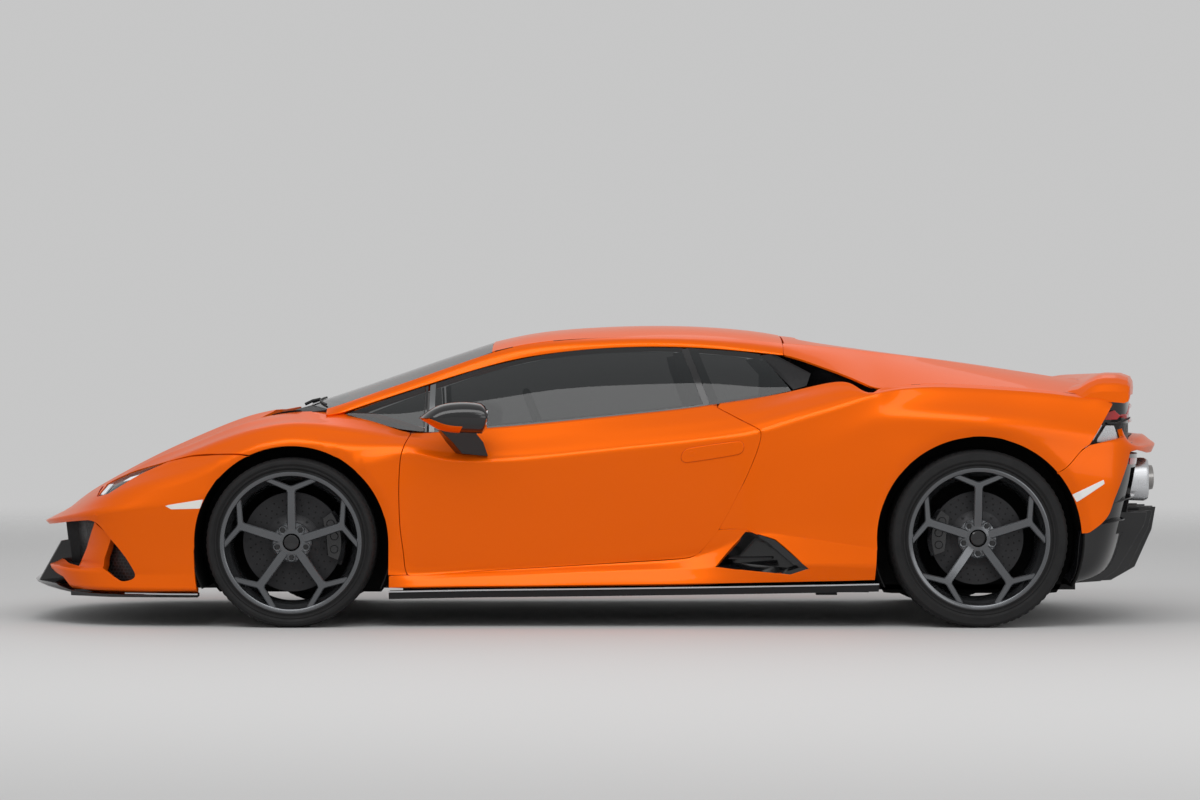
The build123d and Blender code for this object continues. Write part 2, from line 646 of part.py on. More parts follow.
def wheel_liners():
    """Half-round shells over each wheel, inside the arches."""
    out = []
    for end, y0, y1, r in (("f", 505, 820, 398), ("r", 640, 900, 402)):
        shell = round_y(r + 6, AXLE_U[end], ARCH_Z[end], y0, y1) - round_y(r, AXLE_U[end], ARCH_Z[end],
                                                                           y0 - 10, y1 + 10)
        shell = shell & box(AXLE_U[end] - 500, AXLE_U[end] + 500, y0, y1, ARCH_Z[end] + 120, 800)
        out += both(shell)
    return out


def suspension(end):
    """Wishbones, each with its spring strut, and at the rear the uprights."""
    u, z = AXLE_U[end], TYRE_R[end]
    inner_y, outer_y = (474, 672) if end == "f" else (330, 640)
    arms = []
    for dz in (-95, 105):
        for du in (-150, 150):
            a, b = Vector(x_of(u + du), inner_y, z + dz), Vector(x_of(u + du * 0.1), outer_y - 60,
                                                                 z + dz * 0.9)
            d = b - a
            arms.append(Solid.make_cylinder(13, d.length, Plane(origin=a, z_dir=d)))
    tie = box(u - 25, u + 25, outer_y - 85, outer_y - 55, z - 110, z + 120)
    return joined([tie, *arms])


# ---- wheels ----
def ring_y(profile, centre):
    """A solid of revolution about the wheel's axis from (radius, y) points."""
    face = Face(Wire.make_polygon([Vector(r, y, 0) for r, y in profile], close=True))
    return Solid.revolve(face, 360, Axis((0, 0, 0), (0, 1, 0))).moved(Location(centre))


def tyre(end, centre):
    r, w = TYRE_R[end], TYRE_W[end] / 2
    profile = [(BEAD_R + 19, -w + 12), (r - 26, -w), (r - 8, -w + 10), (r, -w + 30), (r, w - 30),
               (r - 8, w - 10), (r - 26, w),
               (BEAD_R + 19, w - 12), (BEAD_R + 1, w - 16), (BEAD_R + 1, -w + 16)]
    return ring_y(profile, centre)


def rim(end, centre):
    """Barrel, flanges, five forked spokes and hub. The face is towards +Y."""
    w = TYRE_W[end] / 2
    barrel = ring_y([(BEAD_R, -w + 16), (BEAD_R, w - 11), (RIM_R - 1, w - 10), (RIM_R - 1, w - 2),
                     (BEAD_R - 9, w - 4), (BEAD_R - 11, -w + 16)], (0, 0, 0))
    face_y, depth = w - 40, 26
    hub = Solid.make_cylinder(78, 46, Plane(origin=(0, face_y - 46, 0), z_dir=(0, 1, 0)))
    spokes = []
    for n in range(5):
        stem = [(-19, 55), (19, 55), (15, 176), (80, 234), (56, 241), (0, 196), (-56, 241), (-80, 234),
                (-15, 176)]
        face = Face(Wire.make_polygon([Vector(x, face_y - depth, z) for x, z in stem], close=True))
        spoke = Solid.extrude(face, Vector(0, depth, 0))
        spokes.append(spoke.rotate(Axis.Y, 72 * n))
    return joined([barrel, hub, *spokes]).moved(Location(centre))


def disc(end, centre):
    """Brake disc on its bell."""
    w = TYRE_W[end] / 2
    y = w - 125
    radius = 190 if end == "f" else 178
    return ring_y([(0, y + 2), (0, y + 34), (72, y + 34), (72, y + 2), (84, y + 2), (radius, y + 2),
                   (radius, y - 30), (84, y - 30), (60, y - 30), (60, y + 2)], centre)


def caliper(end, angle):
    """Brake caliper straddling the disc, about the wheel's centre at the given angle from straight ahead."""
    w = TYRE_W[end] / 2
    y = TYRE_Y[end] + w - 125
    radius = 190 if end == "f" else 178
    outer, inner = radius + 16, radius - 62
    span = [math.radians(angle + a) for a in (-26, -13, 0, 13, 26)]
    face = [(outer * math.cos(a), outer * math.sin(a)) for a in span]
    face += [(inner * math.cos(a), inner * math.sin(a)) for a in span[::-1]]
    block = Solid.extrude(Face(Wire.make_polygon([Vector(x, y - 46, z) for x, z in face], close=True)),
                          Vector(0, 64, 0))
    slot = Solid.make_cylinder(radius + 6, 44, Plane(origin=(0, y - 36, 0), z_dir=(0, 1, 0)))
    return (block - slot).moved(Location((x_of(AXLE_U[end]), 0, TYRE_R[end])))


def knuckle(centre_y):
    """Front upright with its caliper, turned by the steering. Left side."""
    u, z = 0, TYRE_R["f"]
    post = box(u - 28, u + 28, KINGPIN_Y - 95, KINGPIN_Y - 55, z - 120, z + 130)
    arm = box(u + 20, u + 120, KINGPIN_Y - 90, KINGPIN_Y - 62, z - 30, z)
    bracket = box(u + 20, u + 190, KINGPIN_Y - 80, KINGPIN_Y - 60, z - 40, z + 40)
    hanger = box(u + 130, u + 190, KINGPIN_Y - 62, centre_y - 48, z - 40, z + 40)
    stub = Solid.make_cylinder(24, 30, Plane(origin=(x_of(u), KINGPIN_Y - 60, z), z_dir=(0, 1, 0)))
    return joined([post, arm, bracket, hanger, stub, caliper("f", 180)])


def build():
    os.makedirs("parts", exist_ok=True)
    skin = front_skin()
    write("front_bumper", mirror_join(biggest(front_bumper(skin))))
    write("front_fenders", both(front_fender(skin)))
    write("front_splitter", front_splitter())
    write("grilles", [*front_grille(), rear_grille()])
    lamp_columns = [full(c) for c in NOSE] + side_columns()[:8]
    lamp_columns = [[(u, y - 3 if y else 0, z - 3) for u, y, z in c] for c in lamp_columns]
    lamp_outer, lamp_inner = flank_net(lamp_columns, PANEL_T, step_u=PANEL_T * 1.6)
    write("headlamps", both(biggest(headlamp(slab(lamp_outer, lamp_inner, flat_inner(lamp_columns))))))
    write("hood", hood())
    write("cowl", cowl())
    write("windscreen", windscreen())
    write("roof", roof())
    write("side_windows", side_windows())
    write("rear_quarters", both(rear_quarter()))
    write("sills", both(biggest(sill())))
    write("side_intakes", [*both(side_intake()), *both(pillar_trim())])
    write("engine_cover", engine_cover())
    write("rear_spoiler", rear_spoiler())
    write("rear_bumper", rear_bumper())
    write("rear_diffuser", rear_diffuser())
    write("tail_lamps", tail_lamps())
    write("exhaust_tips", exhaust_tips())
    write("floor_pan", floor_pan())
    write("tub", tub())
    write("seats", seats())
    write("dashboard", dashboard())
    write("steering_wheel", steering_wheel())
    write("engine", engine())
    write("wheel_liners", wheel_liners())
    write("suspension", [*both(suspension("f")), *both(suspension("r"))])
    leaf, glass, mirror = door(door_net()), door_glass(), door_mirror()
    upright = knuckle(TYRE_Y["f"])
    for name, side in SIDES.items():
        turn = (lambda s: s) if side > 0 else mirrored
        write(f"door_{name}", turn(leaf))
        write(f"door_glass_{name}", turn(glass))
        write(f"mirror_{name}", turn(mirror))
        write(f"knuckle_{name}", turn(upright))
        for end in ("f", "r"):
            where = "front" if end == "f" else "rear"
            centre = (x_of(AXLE_U[end]), TYRE_Y[end], TYRE_R[end])
            write(f"tyre_{where}_{name}", turn(tyre(end, centre)))
            write(f"rim_{where}_{name}", turn(rim(end, centre)))
            write(f"disc_{where}_{name}", turn(disc(end, centre)))


build()
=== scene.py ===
"""Looks of a mid-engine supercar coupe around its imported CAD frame.

Sections and outlines are in millimetres as (u, y, z): u is the distance behind the front axle, y to the car's left
and z up. The body skin is one B-spline net per region. Panels are cut out of it along outlines drawn in the side view,
or along the net's own rows, with a shut gap, a rounded edge and a return flange.
"""

import math

import bpy
import numpy as np
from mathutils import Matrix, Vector
from mathutils.geometry import delaunay_2d_cdt

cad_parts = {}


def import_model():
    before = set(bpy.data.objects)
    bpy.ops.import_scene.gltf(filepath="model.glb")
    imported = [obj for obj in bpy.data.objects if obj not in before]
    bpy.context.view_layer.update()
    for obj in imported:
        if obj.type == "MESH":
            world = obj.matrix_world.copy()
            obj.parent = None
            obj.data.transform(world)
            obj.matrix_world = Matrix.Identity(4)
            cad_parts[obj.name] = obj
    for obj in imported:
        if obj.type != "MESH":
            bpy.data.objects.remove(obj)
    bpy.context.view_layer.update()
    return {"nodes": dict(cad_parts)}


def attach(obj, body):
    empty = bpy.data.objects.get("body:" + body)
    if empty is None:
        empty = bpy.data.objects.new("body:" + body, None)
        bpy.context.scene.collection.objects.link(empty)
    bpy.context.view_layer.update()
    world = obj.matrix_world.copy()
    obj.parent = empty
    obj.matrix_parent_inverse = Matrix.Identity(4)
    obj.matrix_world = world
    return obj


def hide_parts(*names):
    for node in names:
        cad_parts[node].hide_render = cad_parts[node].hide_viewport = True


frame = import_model()

# ---- driving dimensions, in mm ----
FRONT_AXLE_X = 1166.5
WHEELBASE = 2620.0
ARCH = {"f": (0.0, 320.0, 369.0), "r": (WHEELBASE, 336.0, 390.0)}  # u, z and radius of the wheel arches
SHUT_GAP = 4.0
LIP_DEPTH = 16.0
EDGE_RADIUS = 1.6

# ---- fineness of the panels, in mm ----
STEP = 12.0  # between points of an outline
SPACING = 15.0  # of the grid inside a panel
LEAST_EDGE = 1.5  # of an outline
CREASE_CLEAR = 2.5  # from a crease's points to the outline
RING_CLEAR, LINE_CLEAR = 0.35, 0.25  # free band next to outlines and creases, as a share of the grid's spacing
SHARP_TURN = 0.35  # sine of a turn from which a corner is mitred
SHARPEN = 4  # rounds that pull a surface towards the points of its table
FIND_ROUNDS = 12  # of Newton's method
BATCH, SEED_BATCH = 4000, 200  # points worked on at a time

# ---- small maths ----


def spline_weights(f):
    """Weights of the four control points of a uniform cubic B-spline at f in a span."""
    return np.stack(((1 - f) ** 3, 3 * f**3 - 6 * f**2 + 4, -3 * f**3 + 3 * f**2 + 3 * f + 1, f**3), -1) / 6


ACROSS = np.array([1.0, -1.0, 1.0])


def unit(vectors):
    return vectors / np.maximum(np.linalg.norm(vectors, axis=-1, keepdims=True), 1e-12)


def padded(net, axis, ends=""):
    """The net with one more control point past each end, so that the surface reaches its end rows.

    ends may hold "first" or "last": that end lies on the centre plane and goes on in its own mirror image.
    """
    net = np.moveaxis(net, axis, 0)
    first = net[1] * ACROSS if "first" in ends else 2 * net[0] - net[1]
    last = net[-2] * ACROSS if "last" in ends else 2 * net[-1] - net[-2]
    net = np.concatenate(([first], net, [last]))
    return np.moveaxis(net, 0, axis)


def through_nodes(net, axis, ends=""):
    """What the spline reaches at its nodes along one axis."""
    p = np.moveaxis(padded(net, axis, ends), axis, 0)
    return np.moveaxis((p[:-2] + 4 * p[1:-1] + p[2:]) / 6, 0, axis)


def smooth_line(points, step, closed=False, corners=()):
    """Points every step or so along a curve through the given points. It turns sharply only at the listed corners."""
    points = np.asarray(points, float)
    n = len(points)
    out = []
    last = n if closed else n - 1
    for i in range(last):
        a, b = points[i], points[(i + 1) % n]
        before = points[i - 1] if (closed or i > 0) else 2 * a - b
        after = points[(i + 2) % n] if (closed or i + 2 < n) else 2 * b - a
        chord = np.linalg.norm(b - a)
        da = db = b - a
        if i not in corners and (i > 0 or closed):
            da = (b - before) * chord / (chord + np.linalg.norm(a - before))
        nb = (i + 1) % n
        if nb not in corners and (nb < n - 1 or closed):
            db = (after - a) * chord / (chord + np.linalg.norm(after - b))
        count = max(1, int(math.ceil(chord / step)))
        for k in range(count):
            f = k / count
            h = (2 * f**3 - 3 * f**2 + 1, f**3 - 2 * f**2 + f, -2 * f**3 + 3 * f**2, f**3 - f**2)
            out.append(h[0] * a + h[1] * da + h[2] * b + h[3] * db)
    if not closed:
        out.append(points[-1])
    return np.array(out)


def straight_line(points, step):
    """Points every step or so along straight runs between the given points."""
    points = [np.asarray(p, float) for p in points]
    out = []
    for a, b in zip(points, points[1:]):
        count = max(1, int(math.ceil(np.linalg.norm(b - a) / step)))
        out += [a + (b - a) * k / count for k in range(count)]
    return np.array(out + points[-1:])


def arc(cu, cz, radius, start_deg, end_deg):
    """Points on a circle in the side view. 0 degrees is rearwards and 90 up."""
    count = max(3, int(abs(math.radians(end_deg - start_deg)) * radius / STEP) + 1)
    angles = np.radians(np.linspace(start_deg, end_deg, count))
    return np.stack((cu + radius * np.cos(angles), cz + radius * np.sin(angles)), -1)


def inside(points, loop):
    """Which points lie in a closed 2-D loop, by crossing count."""
    x, y = points[:, 0][:, None], points[:, 1][:, None]
    ax, ay = loop[:, 0][None], loop[:, 1][None]
    bx, by = np.roll(loop[:, 0], -1)[None], np.roll(loop[:, 1], -1)[None]
    spans = (ay > y) != (by > y)
    with np.errstate(divide="ignore", invalid="ignore"):
        cross = (bx - ax) * (y - ay) / (by - ay) + ax
    return (spans & (x < cross)).sum(1) % 2 == 1


def distance_to(points, loop):
    """Distance of each point to a closed 2-D loop."""
    a, b = loop, np.roll(loop, -1, 0)
    d = b - a
    length2 = np.maximum((d**2).sum(1), 1e-9)
    best = np.full(len(points), 1e9)
    for start in range(0, len(points), BATCH):
        p = points[start : start + BATCH]
        t = np.clip(((p[:, None] - a[None]) * d[None]).sum(2) / length2[None], 0, 1)
        near = a[None] + t[..., None] * d[None]
        best[start : start + BATCH] = np.sqrt(((p[:, None] - near) ** 2).sum(2)).min(1)
    return best


def area(loop):
    x, y = loop[:, 0], loop[:, 1]
    return 0.5 * float((x * np.roll(y, -1) - np.roll(x, -1) * y).sum())


def clean_loop(loop, least):
    """The loop without points nearer than least to the one before."""
    kept = [loop[0]]
    for p in loop[1:]:
        if np.linalg.norm(p - kept[-1]) > least:
            kept.append(p)
    if np.linalg.norm(kept[0] - kept[-1]) <= least:
        kept.pop()
    return np.array(kept)


def inset(loop, amounts):
    """A counter-clockwise loop moved inwards. amounts holds one step for each edge, from a point to the next."""
    edge = np.roll(loop, -1, 0) - loop
    n2 = np.stack((-edge[:, 1], edge[:, 0]), -1) / np.linalg.norm(edge, axis=1)[:, None]
    n1 = np.roll(n2, 1, 0)
    w1, w2 = np.roll(amounts, 1), amounts
    det = n1[:, 0] * n2[:, 1] - n1[:, 1] * n2[:, 0]
    sharp = np.abs(det) > SHARP_TURN
    safe = np.where(sharp, det, 1.0)
    corner = np.stack((w1 * n2[:, 1] - w2 * n1[:, 1], w2 * n1[:, 0] - w1 * n2[:, 0]), -1) / safe[:, None]
    along = (n1 * w1[:, None] + n2 * w2[:, None]) / 2
    return loop + np.where(sharp[:, None], corner, along)


def world(points):
    """(u, y, z) in mm to the shared frame in metres."""
    points = np.asarray(points, float)
    return np.stack((FRONT_AXLE_X - points[..., 0], points[..., 1], points[..., 2]), -1) / 1000


# ---- body surfaces ----


class Surface:
    """A cubic B-spline surface through a net of (u, y, z) points, with named rows across the car's section."""

    def __init__(self, columns, rows, creases=None, shape=None, column_ends="", row_ends=""):
        """creases holds the radius of a sharper row by its name, as one number or one for each column."""
        net = np.array(columns, float)
        names, expanded = [], []
        for j, name in enumerate(rows):
            radius = (creases or {}).get(name)
            here = net[:, j]
            if radius is None or j in (0, len(rows) - 1):
                expanded.append(here)
                names.append(name)
                continue
            radius = np.broadcast_to(np.asarray(radius, float), (len(net),))[:, None]
            for other, label in ((net[:, j - 1], None), (None, name), (net[:, j + 1], None)):
                if other is None:
                    expanded.append(here)
                else:
                    away = other - here
                    length = np.linalg.norm(away, axis=1)[:, None]
                    expanded.append(here + away / length * np.minimum(radius, 0.45 * length))
                names.append(label)
        target = np.stack(expanded, 1)
        control = target.copy()
        out = unit(np.cross(np.gradient(target, axis=0), np.gradient(target, axis=1)))
        for _ in range(SHARPEN):
            miss = target - through_nodes(through_nodes(control, 0, column_ends), 1, row_ends)
            control = control + out * (miss * out).sum(2, keepdims=True)
        self.size = target.shape[:2]
        self.net = padded(padded(control, 0, column_ends), 1, row_ends)
        self.row = {name: float(k) for k, name in enumerate(names) if name}
        self.base_rows = np.array([self.row[name] for name in rows])
        self.shape = shape
        run = np.linalg.norm(np.diff(target, axis=0), axis=2).mean(1)
        rise = np.linalg.norm(np.diff(target, axis=1), axis=2).mean(0)
        self.along = np.concatenate(([0], np.cumsum(run)))
        self.across = np.concatenate(([0], np.cumsum(rise)))
        s = np.linspace(0, self.size[0] - 1, (self.size[0] - 1) * 6 + 1)
        t = np.linspace(0, self.size[1] - 1, (self.size[1] - 1) * 4 + 1)
        self.seeds = np.stack([g.ravel() for g in np.meshgrid(s, t, indexing="ij")], -1)
        self.seed_points = self.raw(self.seeds)

    def raw(self, st):
        """Points (u, y, z) at parameters (n, 2)."""
        out = np.empty((len(st), 3))
        for start in range(0, len(st), BATCH):
            part = st[start : start + BATCH]
            i = np.clip(np.floor(part[:, 0]).astype(int), 0, self.size[0] - 2)
            j = np.clip(np.floor(part[:, 1]).astype(int), 0, self.size[1] - 2)
            a = spline_weights(part[:, 0] - i)
            b = spline_weights(part[:, 1] - j)
            k = np.arange(4)
            block = self.net[(i[:, None] + k)[:, :, None], (j[:, None] + k)[:, None, :]]
            out[start : start + BATCH] = np.einsum("na,nb,nabc->nc", a, b, block)
        return out

    def at(self, st):
        points = self.raw(st)
        return self.shape(points) if self.shape else points

    def normals(self, st):
        """Unit outward normals in the shared frame, by central differences on the shaped surface."""
        ds, dt = (world(self.at(st + h)) - world(self.at(st - h)) for h in ([0.02, 0.0], [0.0, 0.02]))
        return unit(np.cross(ds, dt))

    def metric(self, st):
        """Parameters to a plane with lengths in mm or so."""
        a = np.interp(st[:, 0], np.arange(self.size[0]), self.along)
        b = np.interp(st[:, 1], np.arange(self.size[1]), self.across)
        return np.stack((a, b), -1)

    def params(self, ab):
        s = np.interp(ab[:, 0], self.along, np.arange(self.size[0]))
        t = np.interp(ab[:, 1], self.across, np.arange(self.size[1]))
        return np.stack((s, t), -1)

    def q(self, *pairs):
        """Parameters from (column, row) numbers of the table, which needn't be whole."""
        pairs = np.array(pairs, float)
        t = np.interp(pairs[:, 1], np.arange(len(self.base_rows)), self.base_rows)
        return np.stack((pairs[:, 0], t), -1)

    def find(self, points, axes=(0, 2), rows=None):
        """Parameters of points that project to the given pairs: axes (0, 2) is the side view, (0, 1) the top view."""
        points = np.asarray(points, float)
        low, high = rows or (0, self.size[1] - 1)
        seeds = (self.seeds[:, 1] >= low) & (self.seeds[:, 1] <= high)
        params, places = self.seeds[seeds], self.seed_points[seeds][:, axes]
        st = np.empty((len(points), 2))
        for start in range(0, len(points), SEED_BATCH):
            part = points[start : start + SEED_BATCH]
            st[start : start + SEED_BATCH] = params[((part[:, None] - places[None]) ** 2).sum(2).argmin(1)]
        limit = np.array([self.size[0] - 1, high])
        for _ in range(FIND_ROUNDS):
            at = self.raw(st)[:, axes]
            h = 0.01
            js = (self.raw(st + [h, 0])[:, axes] - at) / h
            jt = (self.raw(st + [0, h])[:, axes] - at) / h
            miss = points - at
            det = js[:, 0] * jt[:, 1] - js[:, 1] * jt[:, 0]
            det = np.where(np.abs(det) < 1e-3, 1e-3, det)
            step = np.stack((jt[:, 1] * miss[:, 0] - jt[:, 0] * miss[:, 1],
                js[:, 0] * miss[:, 1] - js[:, 1] * miss[:, 0]), -1)
            st = np.clip(st + np.clip(step / det[:, None], -0.5, 0.5), [0, low], limit)
        return st

    def row_run(self, name, u0, u1):
        """Parameters along a named row between two stations."""
        t = self.row[name]
        s = np.linspace(0, self.size[0] - 1, 900)
        us = self.raw(np.stack((s, np.full(900, t)), -1))[:, 0]
        s0, s1 = np.interp([u0, u1], us, s)
        count = max(2, int(abs(u1 - u0) / STEP) + 1)
        return np.stack((np.linspace(s0, s1, count), np.full(count, t)), -1)


def make_mesh(name, vertices, faces, normals=None, smooth=True):
    mesh = bpy.data.meshes.new(name)
    mesh.from_pydata([tuple(v) for v in vertices], [], [tuple(f) for f in faces])
    mesh.update()
    if smooth:
        mesh.polygons.foreach_set("use_smooth", [True] * len(mesh.polygons))
    if normals is not None:
        mesh.normals_split_custom_set_from_vertices([tuple(n) for n in normals])
    obj = bpy.data.objects.new(name, mesh)
    bpy.context.scene.collection.objects.link(obj)
    return obj


def within(points, rings):
    """Which points lie inside the first ring and outside the others."""
    found = inside(points, rings[0])
    for ring in rings[1:]:
        found &= ~inside(points, ring)
    return found


def grid_points(surface, rings, spacing):
    """Points inside the rings, about spacing apart, in line with the surface's rows."""
    low, high = rings[0].min(0), rings[0].max(0)
    a_lines = np.arange(low[0] + spacing / 2, high[0], spacing)
    b_lines = []
    for b0, b1 in zip(surface.across[:-1], surface.across[1:]):
        count = max(1, int(math.ceil((b1 - b0) / spacing)))
        b_lines += [b0 + (b1 - b0) * k / count for k in range(count)]
    b_lines = np.array([b for b in b_lines if low[1] < b < high[1]])
    grid = np.stack([g.ravel() for g in np.meshgrid(a_lines, b_lines, indexing="ij")], -1)
    grid = grid[within(grid, rings)]
    for ring in rings:
        if len(grid):
            grid = grid[distance_to(grid, ring) > RING_CLEAR * spacing]
    return grid


def roll_edge(vertices, normals, faces, ids, seam_edge, radius, lip, forward):
    """Adds a rounded edge and a flange along a ring of points, except where another panel goes on."""
    base, up = (np.array([source[i] for i in ids]) for source in (vertices, normals))
    run = unit(np.roll(base, -1, 0) - np.roll(base, 1, 0))
    out = unit(np.cross(run, up) * (1 if forward else -1))
    previous = ids
    for angle, deep in [(math.radians(w), 0.0) for w in (30, 60, 90)] + [(math.pi / 2, lip)]:
        shift = out * radius * math.sin(angle) - up * (radius * (1 - math.cos(angle)) + deep)
        new = list(range(len(vertices), len(vertices) + len(ids)))
        vertices += list(base + shift / 1000)
        normals += list(up * math.cos(angle) + out * math.sin(angle))
        for k in np.flatnonzero(~seam_edge):
            n = (k + 1) % len(ids)
            quad = (previous[k], new[k], new[n], previous[n])
            faces.append(quad if forward else quad[::-1])
        previous = new


def panel_data(surface, loop, holes=(), gap=SHUT_GAP / 2, lip=LIP_DEPTH, spacing=SPACING, features=(), offset=0.0,
        radius=EDGE_RADIUS, seam=None):
    """Vertices, faces and normals of a panel cut out of a surface, with rounded edges and flanges.

    The loops are parameters. seam(points) says which points (u, y, z) lie on an edge that goes on in another panel,
    so that it gets no gap and no rounding.
    """
    rings, seam_edges = [], []
    for ring, sign in [(loop, 1)] + [(opening_shade, -1) for opening_shade in holes]:
        flat = clean_loop(surface.metric(np.asarray(ring, float)), LEAST_EDGE)
        if area(flat) < 0:
            flat = flat[::-1]
        on_seam = np.zeros(len(flat), bool) if seam is None else seam(surface.at(surface.params(flat)))
        seam_edges.append(on_seam & np.roll(on_seam, -1))
        rings.append(inset(flat, np.where(seam_edges[-1], 0.0, gap * sign)) if gap else flat)
    grid = grid_points(surface, rings, spacing)
    crease_points, crease_edges = [], []
    for line in features:
        flat = surface.metric(line)
        ok = within(flat, rings)
        for ring in rings:
            ok &= distance_to(flat, ring) > CREASE_CLEAR
        if len(grid) and ok.any():
            grid = grid[distance_to(grid, np.concatenate((flat[ok], flat[ok][::-1]))) > LINE_CLEAR * spacing]
        for k in np.flatnonzero(ok):
            if k and ok[k - 1]:
                crease_edges.append((len(crease_points) - 1, len(crease_points)))
            crease_points.append(flat[k])
    points, edges, ring_ids = [], [], []
    for ring in rings:
        ring_ids.append(range(len(points), len(points) + len(ring)))
        edges += [(k, ring_ids[-1][(n + 1) % len(ring)]) for n, k in enumerate(ring_ids[-1])]
        points += list(ring)
    edges += [(len(points) + a, len(points) + b) for a, b in crease_edges]
    points += crease_points + list(grid)
    flat, _, faces, origin, _, _ = delaunay_2d_cdt([Vector(p) for p in points], edges, [], 0, 1e-4)
    flat = np.array([tuple(p) for p in flat])
    faces = np.array(list(faces), int)
    faces = faces[within(flat[faces].mean(1), rings)]
    index = {old: new for new, olds in enumerate(origin) for old in olds}
    st = surface.params(flat)
    normals = surface.normals(st)
    vertices = world(surface.at(st)) + normals * offset / 1000
    a, b, c = (vertices[faces[:, k]] for k in range(3))
    flip = (np.cross(b - a, c - a) * normals[faces[:, 0]]).sum(1) < 0
    faces[flip] = faces[flip][:, ::-1]
    vertices, normals, faces = list(vertices), list(normals), [tuple(f) for f in faces]
    for ids, seam_edge in zip(ring_ids, seam_edges):
        roll_edge(vertices, normals, faces, [index[k] for k in ids], seam_edge, radius, lip, ids[0] == 0)
    return np.array(vertices), faces, np.array(normals)


def mirrored(part):
    """The mirror image across the centre plane of (vertices, faces), or (vertices, faces, normals)."""
    vertices, faces, *normals = part
    return vertices * ACROSS, [f[::-1] for f in faces], *(n * ACROSS for n in normals)


SIDES = (("left", lambda part: part), ("right", mirrored))


def join(*parts):
    """Several (vertices, faces), or (vertices, faces, normals), as one."""
    faces, count = [], 0
    for part in parts:
        faces += [tuple(i + count for i in face) for face in part[1]]
        count += len(part[0])
    return np.concatenate([part[0] for part in parts]), faces, *(np.concatenate([part[2] for part in parts])
        for _ in parts[0][2:])


def dress(obj, material, body="chassis", nodes=()):
    """Gives a finished object its material and its body, and hides the CAD nodes that it stands for."""
    obj.data.materials.clear()
    obj.data.materials.append(material)
    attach(obj, body)
    if nodes:
        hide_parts(*nodes)
    return obj


# ---- materials ----
def shader_of(mat):
    return mat.node_tree.nodes["Principled BSDF"]


def set_inputs(node, values):
    for socket, value in values.items():
        node.inputs[socket].default_value = value


def new_material(name, base, rough=0.5, metal=0.0, coat=0.0, coat_rough=0.05, specular=0.5, alpha=1.0):
    mat = bpy.data.materials.new(name)
    mat.use_nodes = True
    set_inputs(shader_of(mat), {
        "Base Color": (*base, 1.0), "Roughness": rough, "Metallic": metal, "Coat Weight": coat,
        "Coat Roughness": coat_rough,
        "Specular IOR Level": specular, "Alpha": alpha, "IOR": 1.5,
    })
    return mat


def new_nodes(tree, *kinds):
    return [tree.nodes.new("ShaderNode" + kind) for kind in kinds]


def noise(mat, scale, detail=3.0):
    """A noise texture's factor in the object's own coordinates."""
    coord, texture = new_nodes(mat.node_tree, "TexCoord", "TexNoise")
    set_inputs(texture, {"Scale": scale, "Detail": detail})
    mat.node_tree.links.new(coord.outputs["Object"], texture.inputs["Vector"])
    return texture.outputs["Fac"]


def ramp(mat, source, *stops):
    """A colour or value ramp over a factor: stops are (place, value or colour)."""
    (node,) = new_nodes(mat.node_tree, "ValToRGB")
    while len(node.color_ramp.elements) < len(stops):
        node.color_ramp.elements.new(0.5)
    for element, (place, value) in zip(node.color_ramp.elements, stops):
        element.position = place
        element.color = (*value, 1.0) if isinstance(value, tuple) else (value, value, value, 1.0)
    mat.node_tree.links.new(source, node.inputs["Fac"])
    return node.outputs["Color"]


def bump(mat, height, strength, distance):
    (node,) = new_nodes(mat.node_tree, "Bump")
    set_inputs(node, {"Strength": strength, "Distance": distance})
    mat.node_tree.links.new(height, node.inputs["Height"])
    return node.outputs["Normal"]


def feed(mat, socket, source):
    mat.node_tree.links.new(source, shader_of(mat).inputs[socket])


def grainy(mat, scale, detail, strength, depth):
    """Gives the material a fine bump of a scale per metre."""
    feed(mat, "Normal", bump(mat, noise(mat, scale, detail), strength, depth))


PAINT = new_material("paint", (0.86, 0.125, 0.001), rough=0.36, metal=0.42, coat=0.35, coat_rough=0.03, specular=0.2)
set_inputs(shader_of(PAINT), {"Specular Tint": (1.0, 0.42, 0.10, 1.0), "Coat IOR": 1.35})
grainy(PAINT, 2600.0, 1.0, 0.05, 0.0004)
GLOSS_BLACK = new_material("gloss_black", (0.006, 0.006, 0.007), rough=0.16, coat=0.5, coat_rough=0.04, specular=0.4)
SATIN_BLACK = new_material("satin_black", (0.010, 0.010, 0.011), rough=0.55, specular=0.3)
GLASS = new_material("side_glass", (0.008, 0.010, 0.011), rough=0.02, specular=0.5, alpha=0.84)

